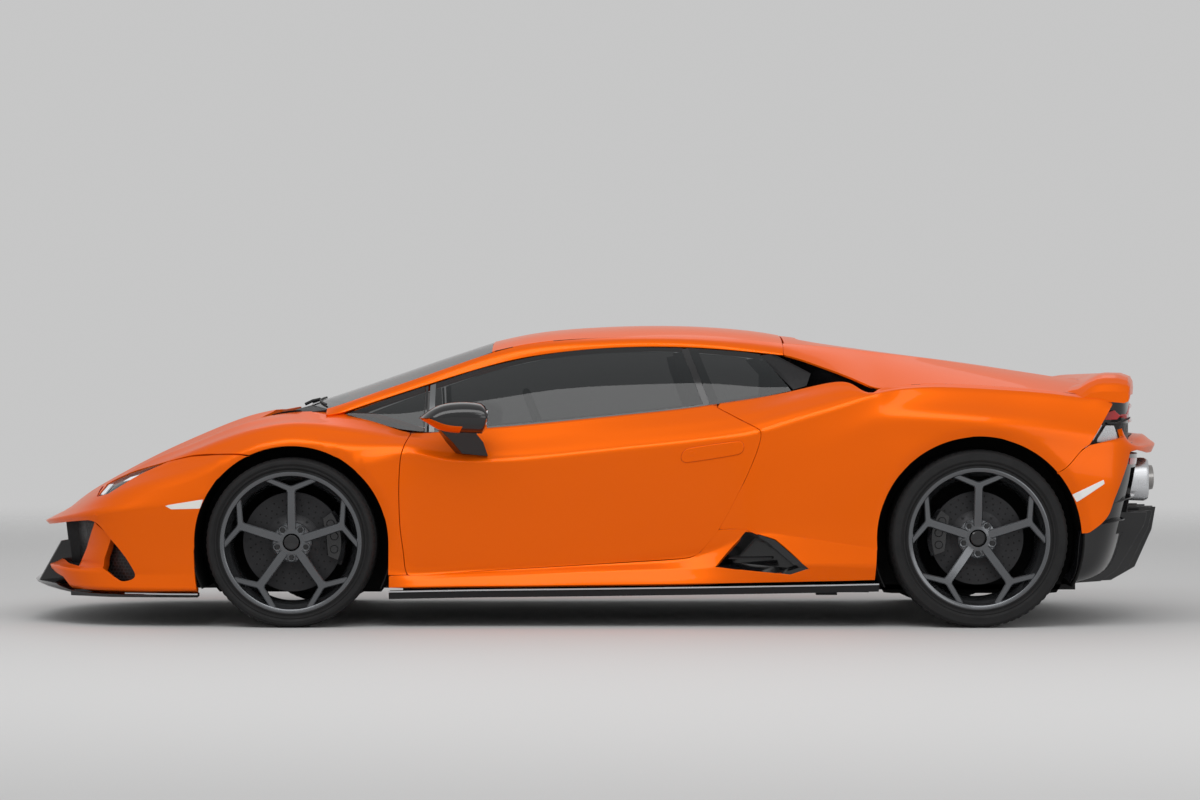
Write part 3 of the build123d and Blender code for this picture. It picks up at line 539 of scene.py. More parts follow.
# ---- body skin tables: (y, z) of each row at a station u, and (u, y, z) where the skin turns round the nose and the
# tail ----
ROWS = ("hem", "lip", "sill", "valley", "low", "waist", "belly", "crease", "upper", "shoulder", "crown", "inner")
NOSE = [
    [(-950, 0, 128), (-975, 0, 152), (-1000, 0, 212), (-960, 0, 236), (-985, 0, 285), (-1008, 0, 320), (-1030, 0, 352),
    (-1062, 0, 382), (-1040, 0, 396), (-1014, 0, 410), (-988, 0, 423), (-966, 0, 434)],
    [(-940, 280, 128), (-970, 280, 152), (-998, 280, 215), (-955, 280, 239), (-968, 280, 290), (-988, 280, 325),
    (-1006, 282, 358), (-1034, 288, 387), (-1012, 268, 400), (-988, 250, 413), (-964, 232, 426), (-945, 215, 437)],
    [(-912, 515, 128), (-950, 520, 152), (-980, 520, 221), (-930, 520, 244), (-922, 520, 300), (-930, 522, 335),
    (-943, 526, 370), (-966, 535, 400), (-942, 480, 420), (-917, 425, 442), (-890, 355, 468), (-868, 292, 486)],
    [(-805, 705, 128), (-858, 735, 148), (-882, 738, 212), (-832, 725, 238), (-815, 735, 310), (-820, 740, 348),
    (-830, 744, 388), (-850, 750, 421), (-832, 704, 448), (-816, 655, 474), (-796, 560, 512), (-785, 330, 532)],
    [(-700, 805, 128), (-722, 850, 145), (-728, 838, 204), (-718, 836, 236), (-716, 846, 310), (-719, 852, 355),
    (-724, 858, 400), (-735, 866, 438), (-718, 815, 491), (-706, 752, 530), (-700, 632, 563), (-700, 358, 575)],
]
SIDE = [
    (-560, (850, 128), (893, 142), (882, 200), (884, 232), (888, 300), (894, 370), (900, 420), (905, 462), (870, 540),
    (780, 600), (645, 639), (404, 642)),
    (-400, (862, 128), (915, 142), (905, 203), (904, 235), (906, 300), (914, 370), (922, 430), (928, 478), (905, 570),
    (820, 660), (652, 700), (448, 712)),
    (-200, (862, 128), (925, 145), (925, 205), (924, 245), (926, 320), (932, 410), (939, 490), (944, 560), (925, 660),
    (850, 735), (658, 780), (505, 786)),
    (0, (862, 128), (928, 150), (935, 205), (936, 250), (938, 330), (941, 430), (946, 520), (948, 600), (944, 700),
    (868, 775), (662, 808), (585, 822)),
    (200, (862, 130), (928, 150), (932, 205), (932, 250), (932, 320), (935, 430), (937, 530), (936, 612), (915, 690),
    (848, 758), (712, 806), (694, 811)),
    (369, (862, 132), (922, 152), (918, 190), (914, 225), (914, 290), (918, 420), (922, 545), (922, 648), (898, 694),
    (855, 728), (778, 764), (762, 764)),
    (450, (862, 134), (918, 154), (908, 180), (896, 205), (894, 225), (901, 400), (908, 545), (912, 668), (892, 696),
    (852, 722), (800, 741), (784, 741)),
    (600, (862, 136), (918, 157), (903, 188), (886, 212), (886, 238), (895, 400), (906, 530), (914, 634), (893, 664),
    (856, 706), (814, 748), (798, 748)),
    (884, (862, 138), (919, 160), (899, 200), (880, 224), (882, 266), (893, 420), (905, 540), (914, 640), (894, 668),
    (858, 714), (817, 771), (801, 771)),
    (1154, (864, 140), (921, 163), (899, 213), (878, 238), (880, 302), (892, 440), (905, 560), (914, 668), (894, 695),
    (858, 742), (815, 798), (799, 798)),
    (1486, (866, 142), (925, 167), (902, 223), (878, 258), (884, 342), (896, 475), (906, 595), (914, 703), (896, 728),
    (858, 775), (803, 832), (787, 832)),
    (1640, (868, 144), (930, 170), (915, 232), (890, 305), (894, 372), (902, 500), (909, 615), (915, 722), (896, 748),
    (855, 795), (792, 854), (776, 854)),
    (1760, (870, 145), (936, 172), (942, 243), (912, 368), (912, 400), (913, 520), (916, 635), (917, 740), (896, 770),
    (850, 817), (776, 872), (760, 872)),
    (1900, (872, 146), (940, 175), (955, 243), (930, 350), (927, 392), (924, 535), (922, 665), (918, 784), (896, 814),
    (842, 857), (757, 898), (741, 898)),
    (2050, (875, 148), (942, 178), (958, 240), (942, 328), (938, 380), (937, 560), (931, 706), (918, 832), (898, 856),
    (852, 893), (785, 931), (769, 930)),
    (2140, (878, 149), (943, 180), (958, 238), (946, 313), (943, 382), (943, 588), (937, 748), (920, 861), (905, 880),
    (878, 905), (836, 931), (818, 929)),
    (2200, (879, 150), (943, 182), (957, 236), (948, 306), (945, 384), (947, 606), (940, 776), (919, 881), (915, 885),
    (910, 889), (903, 892), (888, 888)),
    (2240, (880, 150), (943, 182), (956, 235), (948, 302), (946, 386), (949, 616), (941, 792), (914, 892), (906, 896),
    (898, 899), (889, 903), (874, 909)),
    (2304, (880, 150), (944, 184), (955, 236), (949, 302), (948, 392), (955, 630), (941, 804), (892, 905), (883, 909),
    (874, 912), (864, 916), (850, 921)),
    (2450, (880, 152), (945, 188), (953, 240), (950, 310), (951, 400), (962, 630), (953, 800), (876, 915), (867, 919),
    (857, 922), (847, 926), (836, 930)),
    (2620, (880, 156), (945, 196), (952, 250), (951, 330), (954, 420), (965, 635), (961, 790), (871, 911), (862, 914),
    (852, 918), (843, 921), (832, 925)),
    (2850, (872, 170), (938, 220), (946, 275), (947, 350), (949, 430), (957, 610), (946, 768), (868, 896), (859, 899),
    (850, 902), (840, 906), (830, 909)),
    (2960, (862, 185), (928, 235), (938, 290), (941, 360), (943, 430), (949, 590), (935, 748), (865, 884), (856, 887),
    (847, 890), (838, 893), (828, 896)),
    (3050, (850, 200), (915, 250), (926, 305), (930, 370), (932, 430), (938, 570), (924, 730), (862, 872), (853, 875),
    (844, 878), (835, 881), (825, 884)),
]
TAIL = [
    [(3125, 812, 225), (3140, 872, 270), (3146, 888, 320), (3150, 895, 375), (3153, 898, 430), (3158, 904, 560),
    (3160, 894, 700), (3144, 850, 852), (3142, 841, 856), (3138, 832, 860), (3134, 823, 864), (3130, 813, 868)],
    [(3090, 740, 240), (3125, 800, 285), (3150, 812, 335), (3172, 820, 385), (3186, 824, 440), (3210, 828, 560),
    (3230, 834, 684), (3205, 815, 708), (3196, 806, 712), (3190, 800, 716), (3180, 792, 720), (3170, 782, 724)],
    [(3120, 560, 250), (3180, 600, 295), (3212, 610, 345), (3238, 618, 395), (3254, 622, 450), (3276, 630, 570),
    (3306, 640, 690), (3268, 628, 718), (3255, 620, 722), (3246, 610, 724), (3236, 600, 727), (3226, 590, 730)],
    [(3150, 0, 260), (3240, 0, 305), (3290, 0, 355), (3325, 0, 405), (3340, 0, 460), (3352, 0, 590), (3398, 0, 694),
    (3356, 0, 730), (3330, 0, 734), (3310, 0, 736), (3290, 0, 738), (3270, 0, 740)],
]


def full_column(row):
    """(u, y, z) points from a station and its (y, z) pairs."""
    u, *pairs = row
    return [(u, y, z) for y, z in pairs]


# one more column, so that the tail runs straight across the middle of the car
TAIL.insert(3, [(cu - (cu - su) * (300 / sy) ** 3, 300, cz - (cz - sz) * (300 / sy) ** 3)
    for (su, sy, sz), (cu, _, cz) in zip(TAIL[2], TAIL[3])])
SKIN_COLUMNS = NOSE + [full_column(row) for row in SIDE] + TAIL
FLARE = {"f": 11.0, "r": 12.0}  # depth of the band round each arch
BAND_LEAST, BAND_MOST = 4.0, 35.0  # its width
FLARE_SOFTNESS = 4.0


def flare_width(angle):
    """Width of the inward band outside an arch at an angle in radians, 0 rearwards and a quarter turn up."""
    degrees = np.degrees(angle)
    fade = np.clip((172 - degrees) / 45, 0, 1) * np.clip((degrees + 45) / 40, 0, 1)
    return BAND_LEAST + (BAND_MOST - BAND_LEAST) * fade * fade * (3 - 2 * fade)


def flare(points):
    """Turns the skin inwards next to the wheel arches."""
    out = points.copy()
    for end, (cu, cz, radius) in ARCH.items():
        du, dz = points[:, 0] - cu, points[:, 2] - cz
        away = np.hypot(du, dz) - radius
        angle = np.arctan2(dz, du)
        angle = np.where(angle < -math.pi / 2, angle + 2 * math.pi, angle)
        width = flare_width(angle)
        share = np.clip(width / BAND_MOST, 0, 1)
        into = (width - away) / FLARE_SOFTNESS
        soft = np.where(into > 20, into, np.log1p(np.exp(np.clip(into, -40, 20)))) * FLARE_SOFTNESS
        out[:, 1] -= np.where(points[:, 1] > 500, FLARE[end] * share * np.clip(soft / width, 0, 1.3), 0)
    return out


def flare_line(surface, end, start, stop):
    """The crease at the outer edge of an arch band, as parameters."""
    cu, cz, radius = ARCH[end]
    angles = np.radians(np.linspace(start, stop, 120))
    far = radius + flare_width(angles)
    return surface.find(np.stack((cu + far * np.cos(angles), cz + far * np.sin(angles)), -1))


STATION = np.array([np.mean([p[0] for p in column]) for column in SKIN_COLUMNS])


def fading(places, values):
    """A crease radius for each column from a few (u, radius) pairs."""
    return np.interp(STATION, places, values)


SKIN = Surface(
    SKIN_COLUMNS,
    ROWS,
    {
        "lip": 7,
        "sill": fading([-700, -500, -200, 300, 450, 2000, 2200, 2500], [8, 10, 40, 40, 9, 9, 30, 40]),
        "valley": fading([-700, -500, -200, 300, 450, 1550, 1700, 2200, 2500], [8, 20, 40, 40, 22, 22, 8, 8, 40]),
        "low": fading([-700, -200, 300, 450, 1500, 1640, 1900], [40, 60, 60, 12, 12, 30, 60]),
        "belly": fading([-900, 3100, 3200], [60, 60, 12]),
        "crease": fading([-900, -500, -200, 300, 450, 2000, 2150, 2300, 3050], [8, 12, 45, 30, 14, 12, 9, 14, 14]),
        "shoulder": fading([-900, -500, 0, 400, 2100, 2250], [30, 60, 60, 60, 60, 20]),
        "crown": fading([-700, -400, 150, 369, 2235, 3000], [14, 20, 26, 5, 7, 7]),
    },
    shape=flare,
    column_ends="first last",
)


# ---- shut lines on the skin, in side view (u, z) ----
LAMP_TOP = [(-766, 494), (-742, 543), (-628, 591), (-484, 631)]
LAMP_BOTTOM = [(-484, 631), (-597, 580), (-713, 508), (-766, 494)]
BUMPER_GAP = [(-484, 631), (-430, 644), (-379, 654), (-272, 660), (-197, 660), (-157, 654)]
DOOR_FRONT = [(449, 734), (429, 692), (417, 646), (411, 560), (411, 470), (415, 380), (427, 285), (434, 222),
    (441, 203)]
DOOR_BOTTOM = [(441, 203), (455, 197), (720, 214), (1019, 231), (1280, 247), (1470, 259), (1525, 267), (1560, 285),
    (1631, 373), (1728, 558), (1772, 662), (1790, 726), (1786, 752), (1762, 768), (1719, 790), (1628, 839)]
QUARTER_GAP = [(2916, 589), (2951, 612), (3010, 676), (3041, 697)]
LAMP_EDGE = [(3041, 697), (3086, 765), (3124, 825), (3138, 850)]
POD_TOP = [(1631, 373), (1690, 375), (1735, 373)]
POD_MOUTH = [(1617, 231), (1731, 364), (1764, 363), (1845, 332), (1968, 226), (1900, 204)]
BUMPER_REAR = [(3205, 668), (3190, 615), (3138, 490), (3109, 421), (3040, 362), (3010, 357)]


def side(points, step=STEP, corners=(), surface=SKIN):
    """Parameters along a smooth side-view line, below the skin's turn inwards at the crown."""
    return surface.find(smooth_line(points, step, corners=corners),
        rows=(0, surface.row.get("crown", surface.size[1] - 1)))


def steps(surface, *pairs, step=STEP):
    """Parameters along straight runs between (column, row) numbers of the table."""
    flat = surface.metric(surface.q(*pairs))
    return surface.params(straight_line(flat, step))


def path(*parts):
    return np.concatenate(parts)


def patch(surface, *pairs):
    """A closed outline of straight runs between (column, row) numbers."""
    return steps(surface, *pairs, pairs[0])


def centre_seam(points):
    return np.abs(points[:, 1]) < 0.5


def seam_along(stations, widths, start, reach):
    """The test of points behind a station that lie on a line in plan, where two panels join without a gap."""
    return lambda points: (points[:, 0] > start) & (np.abs(points[:, 1] - np.interp(points[:, 0], stations,
        widths)) < reach)


deck_seam = seam_along([row[0] for row in SIDE] + [3130], [row[-1][0] for row in SIDE] + [813], 2239, 1.0)

FRONT_ARC = ARCH["f"]
REAR_ARC = ARCH["r"]

# fender: over the arch, from the headlamp to the door and the foot of the windscreen pillar
fender_loop = path(
    side(LAMP_TOP, corners=(1,)),
    side(BUMPER_GAP),
    SKIN.find(arc(*FRONT_ARC, 114, 2)),
    side([(369, 320), (369, 260), (369, 200)]),
    side([(369, 200), (441, 201)]),
    side(DOOR_FRONT[::-1]),
    SKIN.row_run("inner", 449, 128),
    SKIN.row_run("inner", 128, -700),
    steps(SKIN, (4.0, 11), (3.25, 11)),
)
fender = panel_data(SKIN, fender_loop, features=[flare_line(SKIN, "f", 113, 3)])

# front bumper: nose, blade and the sides up to the arch, round the mouth
MOUTH_SIDE = [(-790, 406), (-765, 402), (-740, 386), (-694, 334), (-659, 294), (-624, 246), (-600, 203), (-604, 187),
    (-634, 176), (-659, 178), (-733, 226), (-800, 222)]
mouth_edge = path(
    steps(SKIN, (0, 6.5), (1.6, 6.5), (2.5, 6.45), (3.0, 6.4)),
    side(MOUTH_SIDE, corners=(10,)),
    steps(SKIN, (2.75, 2.55), (2.2, 2.75), (0, 2.8)),
)
bumper_loop = path(
    steps(SKIN, (0, 1.7), (2.2, 1.7), (2.78, 1.55), (2.95, 0.9), (3.02, 0), (4, 0), (5, 0)),
    SKIN.row_run("hem", -560, -357),
    side([(-357, 130), (-367, 200), (-371, 290)]),
    SKIN.find(arc(*FRONT_ARC, 182, 115)),
    side(BUMPER_GAP[::-1]),
    side(LAMP_BOTTOM, corners=(2,)),
    steps(SKIN, (3.25, 11), (0, 11), (0, 6.5)),
    mouth_edge,
    steps(SKIN, (0, 2.8), (0, 1.7)),
)
bumper = panel_data(SKIN, bumper_loop, features=[flare_line(SKIN, "f", 182, 116)], seam=centre_seam)
strut = panel_data(
    SKIN,
    side([(-775, 392), (-702, 338), (-735, 258), (-742, 215), (-862, 208), (-775, 392)][::-1], corners=(1, 2, 3, 4)),
    offset=-16.0,
    gap=0.0,
    lip=30,
)

# door
door_loop = path(side(DOOR_BOTTOM), SKIN.row_run("inner", 1628, 449), side(DOOR_FRONT))
door = panel_data(SKIN, door_loop, gap=2.8, lip=22)

# rear quarter: from the door over the arch to the tail lamp
quarter_loop = path(
    side(POD_TOP),
    SKIN.row_run("valley", 1775, 2200),
    SKIN.find(arc(*REAR_ARC, 186, 41)),
    side(QUARTER_GAP),
    side(LAMP_EDGE),
    SKIN.row_run("inner", 3130, 1636),
    side(DOOR_BOTTOM[-1:8:-1]),
)
quarter = panel_data(SKIN, quarter_loop, features=[flare_line(SKIN, "r", 184, 43)], seam=deck_seam)

# rear bumper: sides behind the arch and the shelf round the tail
last = len(SKIN_COLUMNS) - 1.0
rear_bumper_loop = path(
    SKIN.find(arc(*REAR_ARC, 41, 3)),
    side(BUMPER_REAR[::-1]),
    steps(SKIN, (last - 3, 5.75), (last - 2, 5.5), (last - 1, 5.46), (last, 5.45), (last, 9), (last - 3, 9),
    (last - 3.7, 6.3)),
    side(QUARTER_GAP[::-1]),
)
rear_bumper = panel_data(SKIN, rear_bumper_loop, features=[flare_line(SKIN, "r", 41, 4)], seam=centre_seam)

pod_hole = SKIN.find(smooth_line(POD_MOUTH, 10, closed=True, corners=range(6)), rows=(0, SKIN.row["low"]))

# sill: under the door and back to the rear arch, with the raised intake pod
sill_loop = path(
    SKIN.row_run("lip", 372, 2222),
    side([(2222, 184), (2226, 230), (2230, 296)]),
    SKIN.row_run("valley", 2200, 1775),
    side(POD_TOP[::-1]),
    side(DOOR_BOTTOM[7:0:-1]),
    side([(441, 199), (372, 197)]),
)
sill = panel_data(SKIN, sill_loop, holes=[pod_hole])


def show(name, left, material, body="chassis", nodes=(), right=True):
    """One object from left data and its mirror image, smooth across the middle of the car."""
    if right:
        middle = np.abs(left[0][:, 1]) < 6e-4
        left[2][middle, 1] = 0.0
        left[2][middle] = unit(left[2][middle])
    return dress(make_mesh(name, *(join(left, mirrored(left)) if right else left)), material, body, nodes)


show("front_fenders_skin", fender, PAINT, nodes=("front_fenders",))
show("front_bumper_skin", join(bumper, strut), PAINT, nodes=("front_bumper",))
show("rear_quarters_skin", quarter, PAINT, nodes=("rear_quarters",))
show("rear_bumper_skin", rear_bumper, PAINT, nodes=("rear_bumper",))
show("sills_skin", sill, PAINT, nodes=("sills",))
for side_name, turn in SIDES:
    show("door_skin_" + side_name, turn(door), PAINT, "door_" + side_name, ("door_" + side_name,), right=False)

# ---- upper body ----
HOOD_ROWS = ("edge", "crease", "mid", "centre")
HOOD = [
    [(-945, 215, 437), (-954, 150, 438), (-962, 75, 437), (-966, 0, 436)],
    [(-868, 292, 486), (-872, 215, 496), (-876, 110, 500), (-878, 0, 500)],
    [(-785, 330, 532), (-785, 246, 547), (-785, 125, 551), (-785, 0, 553)],
    [(-700, 358, 575), (-700, 270, 593), (-700, 140, 595), (-700, 0, 598)],
    [(-560, 404, 642), (-560, 306, 663), (-560, 160, 663), (-560, 0, 665)],
    [(-369, 458, 724), (-369, 352, 746), (-369, 185, 743), (-369, 0, 745)],
    [(-200, 505, 786), (-200, 394, 808), (-200, 210, 803), (-200, 0, 805)],
    [(-60, 552, 815), (-60, 430, 836), (-60, 230, 834), (-60, 0, 838)],
    [(0, 585, 822), (0, 455, 842), (0, 240, 841), (0, 0, 846)],
]
BONNET = Surface(HOOD, HOOD_ROWS, {"crease": 16}, row_ends="last")
hood = panel_data(BONNET, patch(BONNET, (0, 0), (0, 3), (7.4, 3), (6.9, 1.6), (6.35, 0)), seam=centre_seam, lip=20)
show("hood_skin", hood, PAINT, "front_lid", ("hood",))

SCREEN = [
    [(118, 668, 832), (32, 370, 846), (16, 190, 851), (8, 0, 853)],
    [(262, 657, 880), (212, 365, 903), (198, 185, 911), (192, 0, 914)],
    [(420, 636, 934), (385, 360, 962), (376, 180, 972), (372, 0, 975)],
    [(592, 610, 994), (570, 345, 1027), (564, 170, 1037), (562, 0, 1040)],
    [(762, 578, 1056), (752, 330, 1088), (749, 165, 1098), (748, 0, 1101)],
]
WINDSCREEN = Surface(SCREEN, ("edge", "quarter", "mid", "centre"), row_ends="last")
screen = panel_data(WINDSCREEN, patch(WINDSCREEN, (0, 0), (0, 3), (4, 3), (4, 0)), seam=centre_seam, lip=6, spacing=30)
show("windscreen_glass", screen, GLASS, nodes=("windscreen",))

PILLAR = [
    (60, (733, 797), (715, 806), (690, 814), (662, 824)),
    (118, (722, 808), (707, 816), (690, 823), (670, 833)),
    (171, (705, 815), (700, 824), (686, 838), (664, 850)),
    (300, (688, 858), (686, 867), (674, 882), (654, 894)),
    (420, (669, 898), (667, 907), (656, 921), (638, 935)),
    (592, (645, 954), (643, 963), (631, 982), (612, 996)),
    (768, (620, 1010), (618, 1018), (606, 1040), (586, 1058)),
    (930, (612, 1044), (611, 1053), (599, 1075), (574, 1092)),
    (1180, (605, 1071), (604, 1080), (590, 1097), (562, 1110)),
    (1400, (600, 1077), (599, 1086), (584, 1103), (552, 1115)),
    (1600, (602, 1070), (601, 1079), (583, 1097), (545, 1111)),
    (1800, (608, 1051), (606, 1060), (583, 1080), (536, 1098)),
    (1892, (612, 1041), (609, 1050), (583, 1070), (526, 1089)),
]
RAIL = Surface([full_column(row) for row in PILLAR], ("glass", "drip", "mid", "cant"), {"drip": 4})
ROOF = [
    (755, (588, 1056), (460, 1079), (330, 1092), (165, 1101), (0, 1104)),
    (930, (574, 1092), (455, 1115), (330, 1128), (165, 1137), (0, 1140)),
    (1180, (562, 1110), (450, 1133), (330, 1148), (165, 1159), (0, 1162)),
    (1400, (552, 1115), (445, 1138), (330, 1154), (165, 1165), (0, 1168)),
    (1600, (545, 1111), (440, 1134), (330, 1149), (165, 1160), (0, 1163)),
    (1800, (536, 1098), (435, 1119), (325, 1133), (165, 1143), (0, 1146)),
    (1892, (526, 1089), (430, 1107), (325, 1119), (165, 1128), (0, 1131)),
]
TOP = Surface([full_column(row) for row in ROOF], ("cant", "side", "quarter", "mid", "centre"), row_ends="last")


cant_seam = seam_along([row[0] for row in PILLAR], [row[4][0] for row in PILLAR], 766, 1.2)
rail = panel_data(RAIL, patch(RAIL, (1, 0), (12, 0), (12, 3), (1, 3)), seam=cant_seam)
roof_loop = patch(TOP, (0, 0), (6, 0), (6, 4), (0, 4))
roof = panel_data(TOP, roof_loop, seam=lambda points: centre_seam(points) | cant_seam(points), spacing=25)
show("roof_skin", join(rail, roof), PAINT, nodes=("roof",))

# side glass: belt, middle and rail
WINDOW = [
    (171, (706, 816), (706, 817), (705, 818)),
    (300, (748, 783), (724, 825), (690, 858)),
    (430, (788, 742), (741, 830), (669, 900)),
    (620, (800, 742), (744, 860), (645, 962)),
    (790, (806, 754), (742, 890), (622, 1012)),
    (1020, (806, 776), (738, 925), (611, 1056)),
    (1255, (802, 800), (734, 946), (604, 1074)),
    (1489, (790, 824), (727, 956), (602, 1076)),
    (1640, (778, 846), (717, 962), (606, 1068)),
    (1800, (762, 868), (704, 964), (611, 1050)),
    (1900, (748, 888), (697, 968), (616, 1038)),
    (2010, (735, 905), (700, 960), (650, 1012)),
]
SIDE_GLASS = Surface([full_column(row) for row in WINDOW], ("belt", "mid", "rail"))
triangle = panel_data(SIDE_GLASS, side([(196, 812), (350, 870), (500, 921), (500, 741), (447, 738), (375, 756),
    (300, 780)], surface=SIDE_GLASS, corners=(2, 3)), lip=4)

BELT = SKIN.at(SKIN.row_run("inner", 480, 1620))


def belt_z(u):
    """Height of the door's upper edge, where the glass comes out of it."""
    return float(np.interp(u, BELT[:, 0], BELT[:, 2]))


pane = panel_data(
    SIDE_GLASS,
    side([(u, belt_z(u) - 3) for u in (519, 600, 884, 1154, 1560, 1586)] + [(1500, 1069), (1489, 1072), (1255, 1072),
    (1021, 1054), (787, 1011), (519, 926)], surface=SIDE_GLASS, corners=(5, 6, 11)),
    lip=4,
)
rear_pane = panel_data(
    SIDE_GLASS,
    side([(1590, 844), (1640, 852), (1792, 876), (1918, 902), (1800, 1046), (1722, 1056), (1512, 1072)],
    surface=SIDE_GLASS, corners=(3, 4, 6)),
    lip=4,
)
show("fixed_glass", join(triangle, rear_pane), GLASS, nodes=("side_windows",))
for side_name, turn in SIDES:
    show("door_pane_" + side_name, turn(pane), GLASS, "door_" + side_name, ("door_glass_" + side_name,),
        right=False)

# rear deck: buttresses over the upper intakes, and the engine cover between them
EAVE = [(1892, 622, 1045), (1960, 655, 1026), (2018, 692, 1005), (2102, 772, 970), (2180, 847, 933), (2240, 874, 909),
    (2304, 850, 921), (2450, 836, 930), (2620, 832, 925), (2850, 830, 909), (2960, 828, 896), (3050, 825, 884),
    (3134, 813, 868)]
DECK_EDGE = [(1892, 526, 1089), (1960, 510, 1085), (2018, 506, 1080), (2102, 500, 1073), (2180, 494, 1064),
    (2240, 490, 1057), (2304, 487, 1049), (2450, 480, 1032), (2620, 474, 1008), (2850, 460, 975), (2960, 452, 959),
    (3050, 445, 947), (3100, 440, 945)]


def between(a, b, share, lift=0.0):
    a, b = np.array(a, float), np.array(b, float)
    return tuple(a + (b - a) * share + [0, 0, lift])


BUTTRESS = Surface(
    [[a, between(a, b, 0.3, 5), between(a, b, 0.65, 6), between(a, b, 0.95, 1), b] for a, b in zip(EAVE, DECK_EDGE)],
    ("eave", "outer", "mid", "near", "deck"),
)


eave_seam = seam_along([p[0] for p in EAVE], [p[1] for p in EAVE], 2239, 1.2)
buttress = panel_data(BUTTRESS, patch(BUTTRESS, (0, 0), (11.4, 0), (11.4, 4), (0, 4)), seam=eave_seam, lip=7)
show("buttress_skin", buttress, PAINT)


# ---- wheels ----
def solid(name, part, material, body="chassis", nodes=(), angle=35.0, bevel=0.0):
    """An object from (vertices in (u, y, z) mm, faces), smooth below the angle between faces."""
    v, f = part
    obj = make_mesh(name, world(v), f)
    obj.data.set_sharp_from_angle(angle=math.radians(angle))
    if bevel:
        modifier = obj.modifiers.new("edges", "BEVEL")
        modifier.width = bevel / 1000
        modifier.segments = 2
        modifier.limit_method = "ANGLE"
        modifier.angle_limit = math.radians(30)
        modifier.harden_normals = True
    return dress(obj, material, body, nodes)


def ring_faces(count, n, wrap=False):
    """Quads between rings of n points each, and from the last ring back to the first where they wrap."""
    return [(k * n + j, k * n + (j + 1) % n, (k + 1) % count * n + (j + 1) % n, (k + 1) % count * n + j)
        for k in range(count if wrap else count - 1) for j in range(n)]


def revolved(profile, segments):
    """A ring round the local Y axis from (radius, y) points, counter-clockwise with y to the right and radius up."""
    angles = np.linspace(0, 2 * math.pi, segments, endpoint=False)
    return np.array([(r * math.cos(a), y, r * math.sin(a)) for a in angles for r, y in profile]), ring_faces(segments,
        len(profile), wrap=True)


def turned(profile, segments):
    return outward(revolved(profile, segments))


def loft(rings):
    """A solid through rings of equally many (u, y, z) points, with both ends capped."""
    n = len(rings[0])
    last = (len(rings) - 1) * n
    faces = ring_faces(len(rings), n) + [tuple(range(n - 1, -1, -1)), tuple(range(last, last + n))]
    return outward((np.array([p for ring in rings for p in ring], float), faces))


def moved(part, offset, spin=0.0, mirror=False):
    """A local part turned about its Y axis, optionally mirrored in y, and moved."""
    v, f = part
    v = np.asarray(v, float)
    c, s = math.cos(spin), math.sin(spin)
    v = np.stack((v[:, 0] * c - v[:, 2] * s, v[:, 1], v[:, 0] * s + v[:, 2] * c), -1)
    if mirror:
        v = v * ACROSS
        f = [face[::-1] for face in f]
    return v + np.asarray(offset, float), f


def outward(part):
    """The part with its faces turned outwards, judged by its signed volume."""
    v, f = part
    v = np.asarray(v, float)
    volume = 0.0
    for face in f:
        a = v[face[0]]
        for b, c in zip(face[1:-1], face[2:]):
            volume += np.dot(a, np.cross(v[b], v[c]))
    # (u, y, z) is a left-handed triple, since u runs opposite to X
    return (v, [face[::-1] for face in f]) if volume > 0 else (v, f)


def plate(outline, front, back, chamfer=0.0):
    """A plate from a counter-clockwise (x, z) outline: front and back give each point's y. The front has a chamfer."""
    outline = np.asarray(outline, float)
    n = len(outline)
    top = inset(outline, np.full(n, chamfer)) if chamfer else outline
    rings = [np.column_stack((top[:, 0], front(top), top[:, 1]))]
    if chamfer:
        rings.append(np.column_stack((outline[:, 0], front(outline) - chamfer, outline[:, 1])))
    rings.append(np.column_stack((outline[:, 0], back(outline), outline[:, 1])))
    v = np.concatenate(rings)
    flat, _, cells, origin, _, _ = delaunay_2d_cdt([Vector(p) for p in top], [(k, (k + 1) % n) for k in range(n)], [],
        1, 1e-6)
    back_to = [o[0] for o in origin]
    faces = [tuple(back_to[i] for i in cell) for cell in cells]
    last = (len(rings) - 1) * n
    faces += [tuple(i + last for i in face[::-1]) for face in faces]
    for ring in range(len(rings) - 1):
        for k in range(n):
            m = (k + 1) % n
            faces.append((ring * n + k, (ring + 1) * n + k, (ring + 1) * n + m, ring * n + m))
    return v, faces


WHEELS = {
    "front": {"u": 0.0, "y": 818.0, "z": 324.0, "r": 324.0, "half": 120.0, "disc": 190.0},
    "rear": {"u": WHEELBASE, "y": 797.0, "z": 339.0, "r": 339.0, "half": 148.0, "disc": 178.0},
}
RIM_LIP_R = 271.0


def hub_face(wheel):
    """Local y of the hub's outer face."""
    return wheel["half"] - (53 if wheel["half"] < 130 else 67)


def round_axis(radius, angle):
    return radius * math.cos(angle), 0, radius * math.sin(angle)


def tyre_part(wheel):
    """Tyre with rim protector, sidewall steps, circumferential grooves and cut shoulders."""
    r, w = wheel["r"], wheel["half"]
    side_wall = [(262, w - 20), (272, w - 13), (279, w - 15), (284, w - 7), (288, w - 6), (291, w - 8), (300, w - 1.5),
        (r - 15, w - 2), (r - 8, w - 7), (r - 3.5, w - 16), (r - 1.2, w - 26)]
    tread = []
    for y in (w * 0.62, w * 0.22, -w * 0.22, -w * 0.62):
        tread += [(r, y + 5), (r - 6, y + 4), (r - 6, y - 4), (r, y - 5)]
    profile = side_wall + tread + [(a, -b) for a, b in side_wall[::-1]] + [(258, -(w - 22)), (258, w - 22)]
    segments = 216
    v, f = revolved(profile, segments)
    v = v.reshape(segments, len(profile), 3)
    cut = np.arange(segments) % 3 == 0
    far_side = len(side_wall) + len(tread)
    for j in (8, 9, 10, 11, far_side - 1, far_side, far_side + 1, far_side + 2):
        radius = profile[j][0]
        deep = 2.6 if radius > r - 5 else 1.2
        v[cut, j, ::2] *= (radius - deep) / radius
    return v.reshape(-1, 3), f


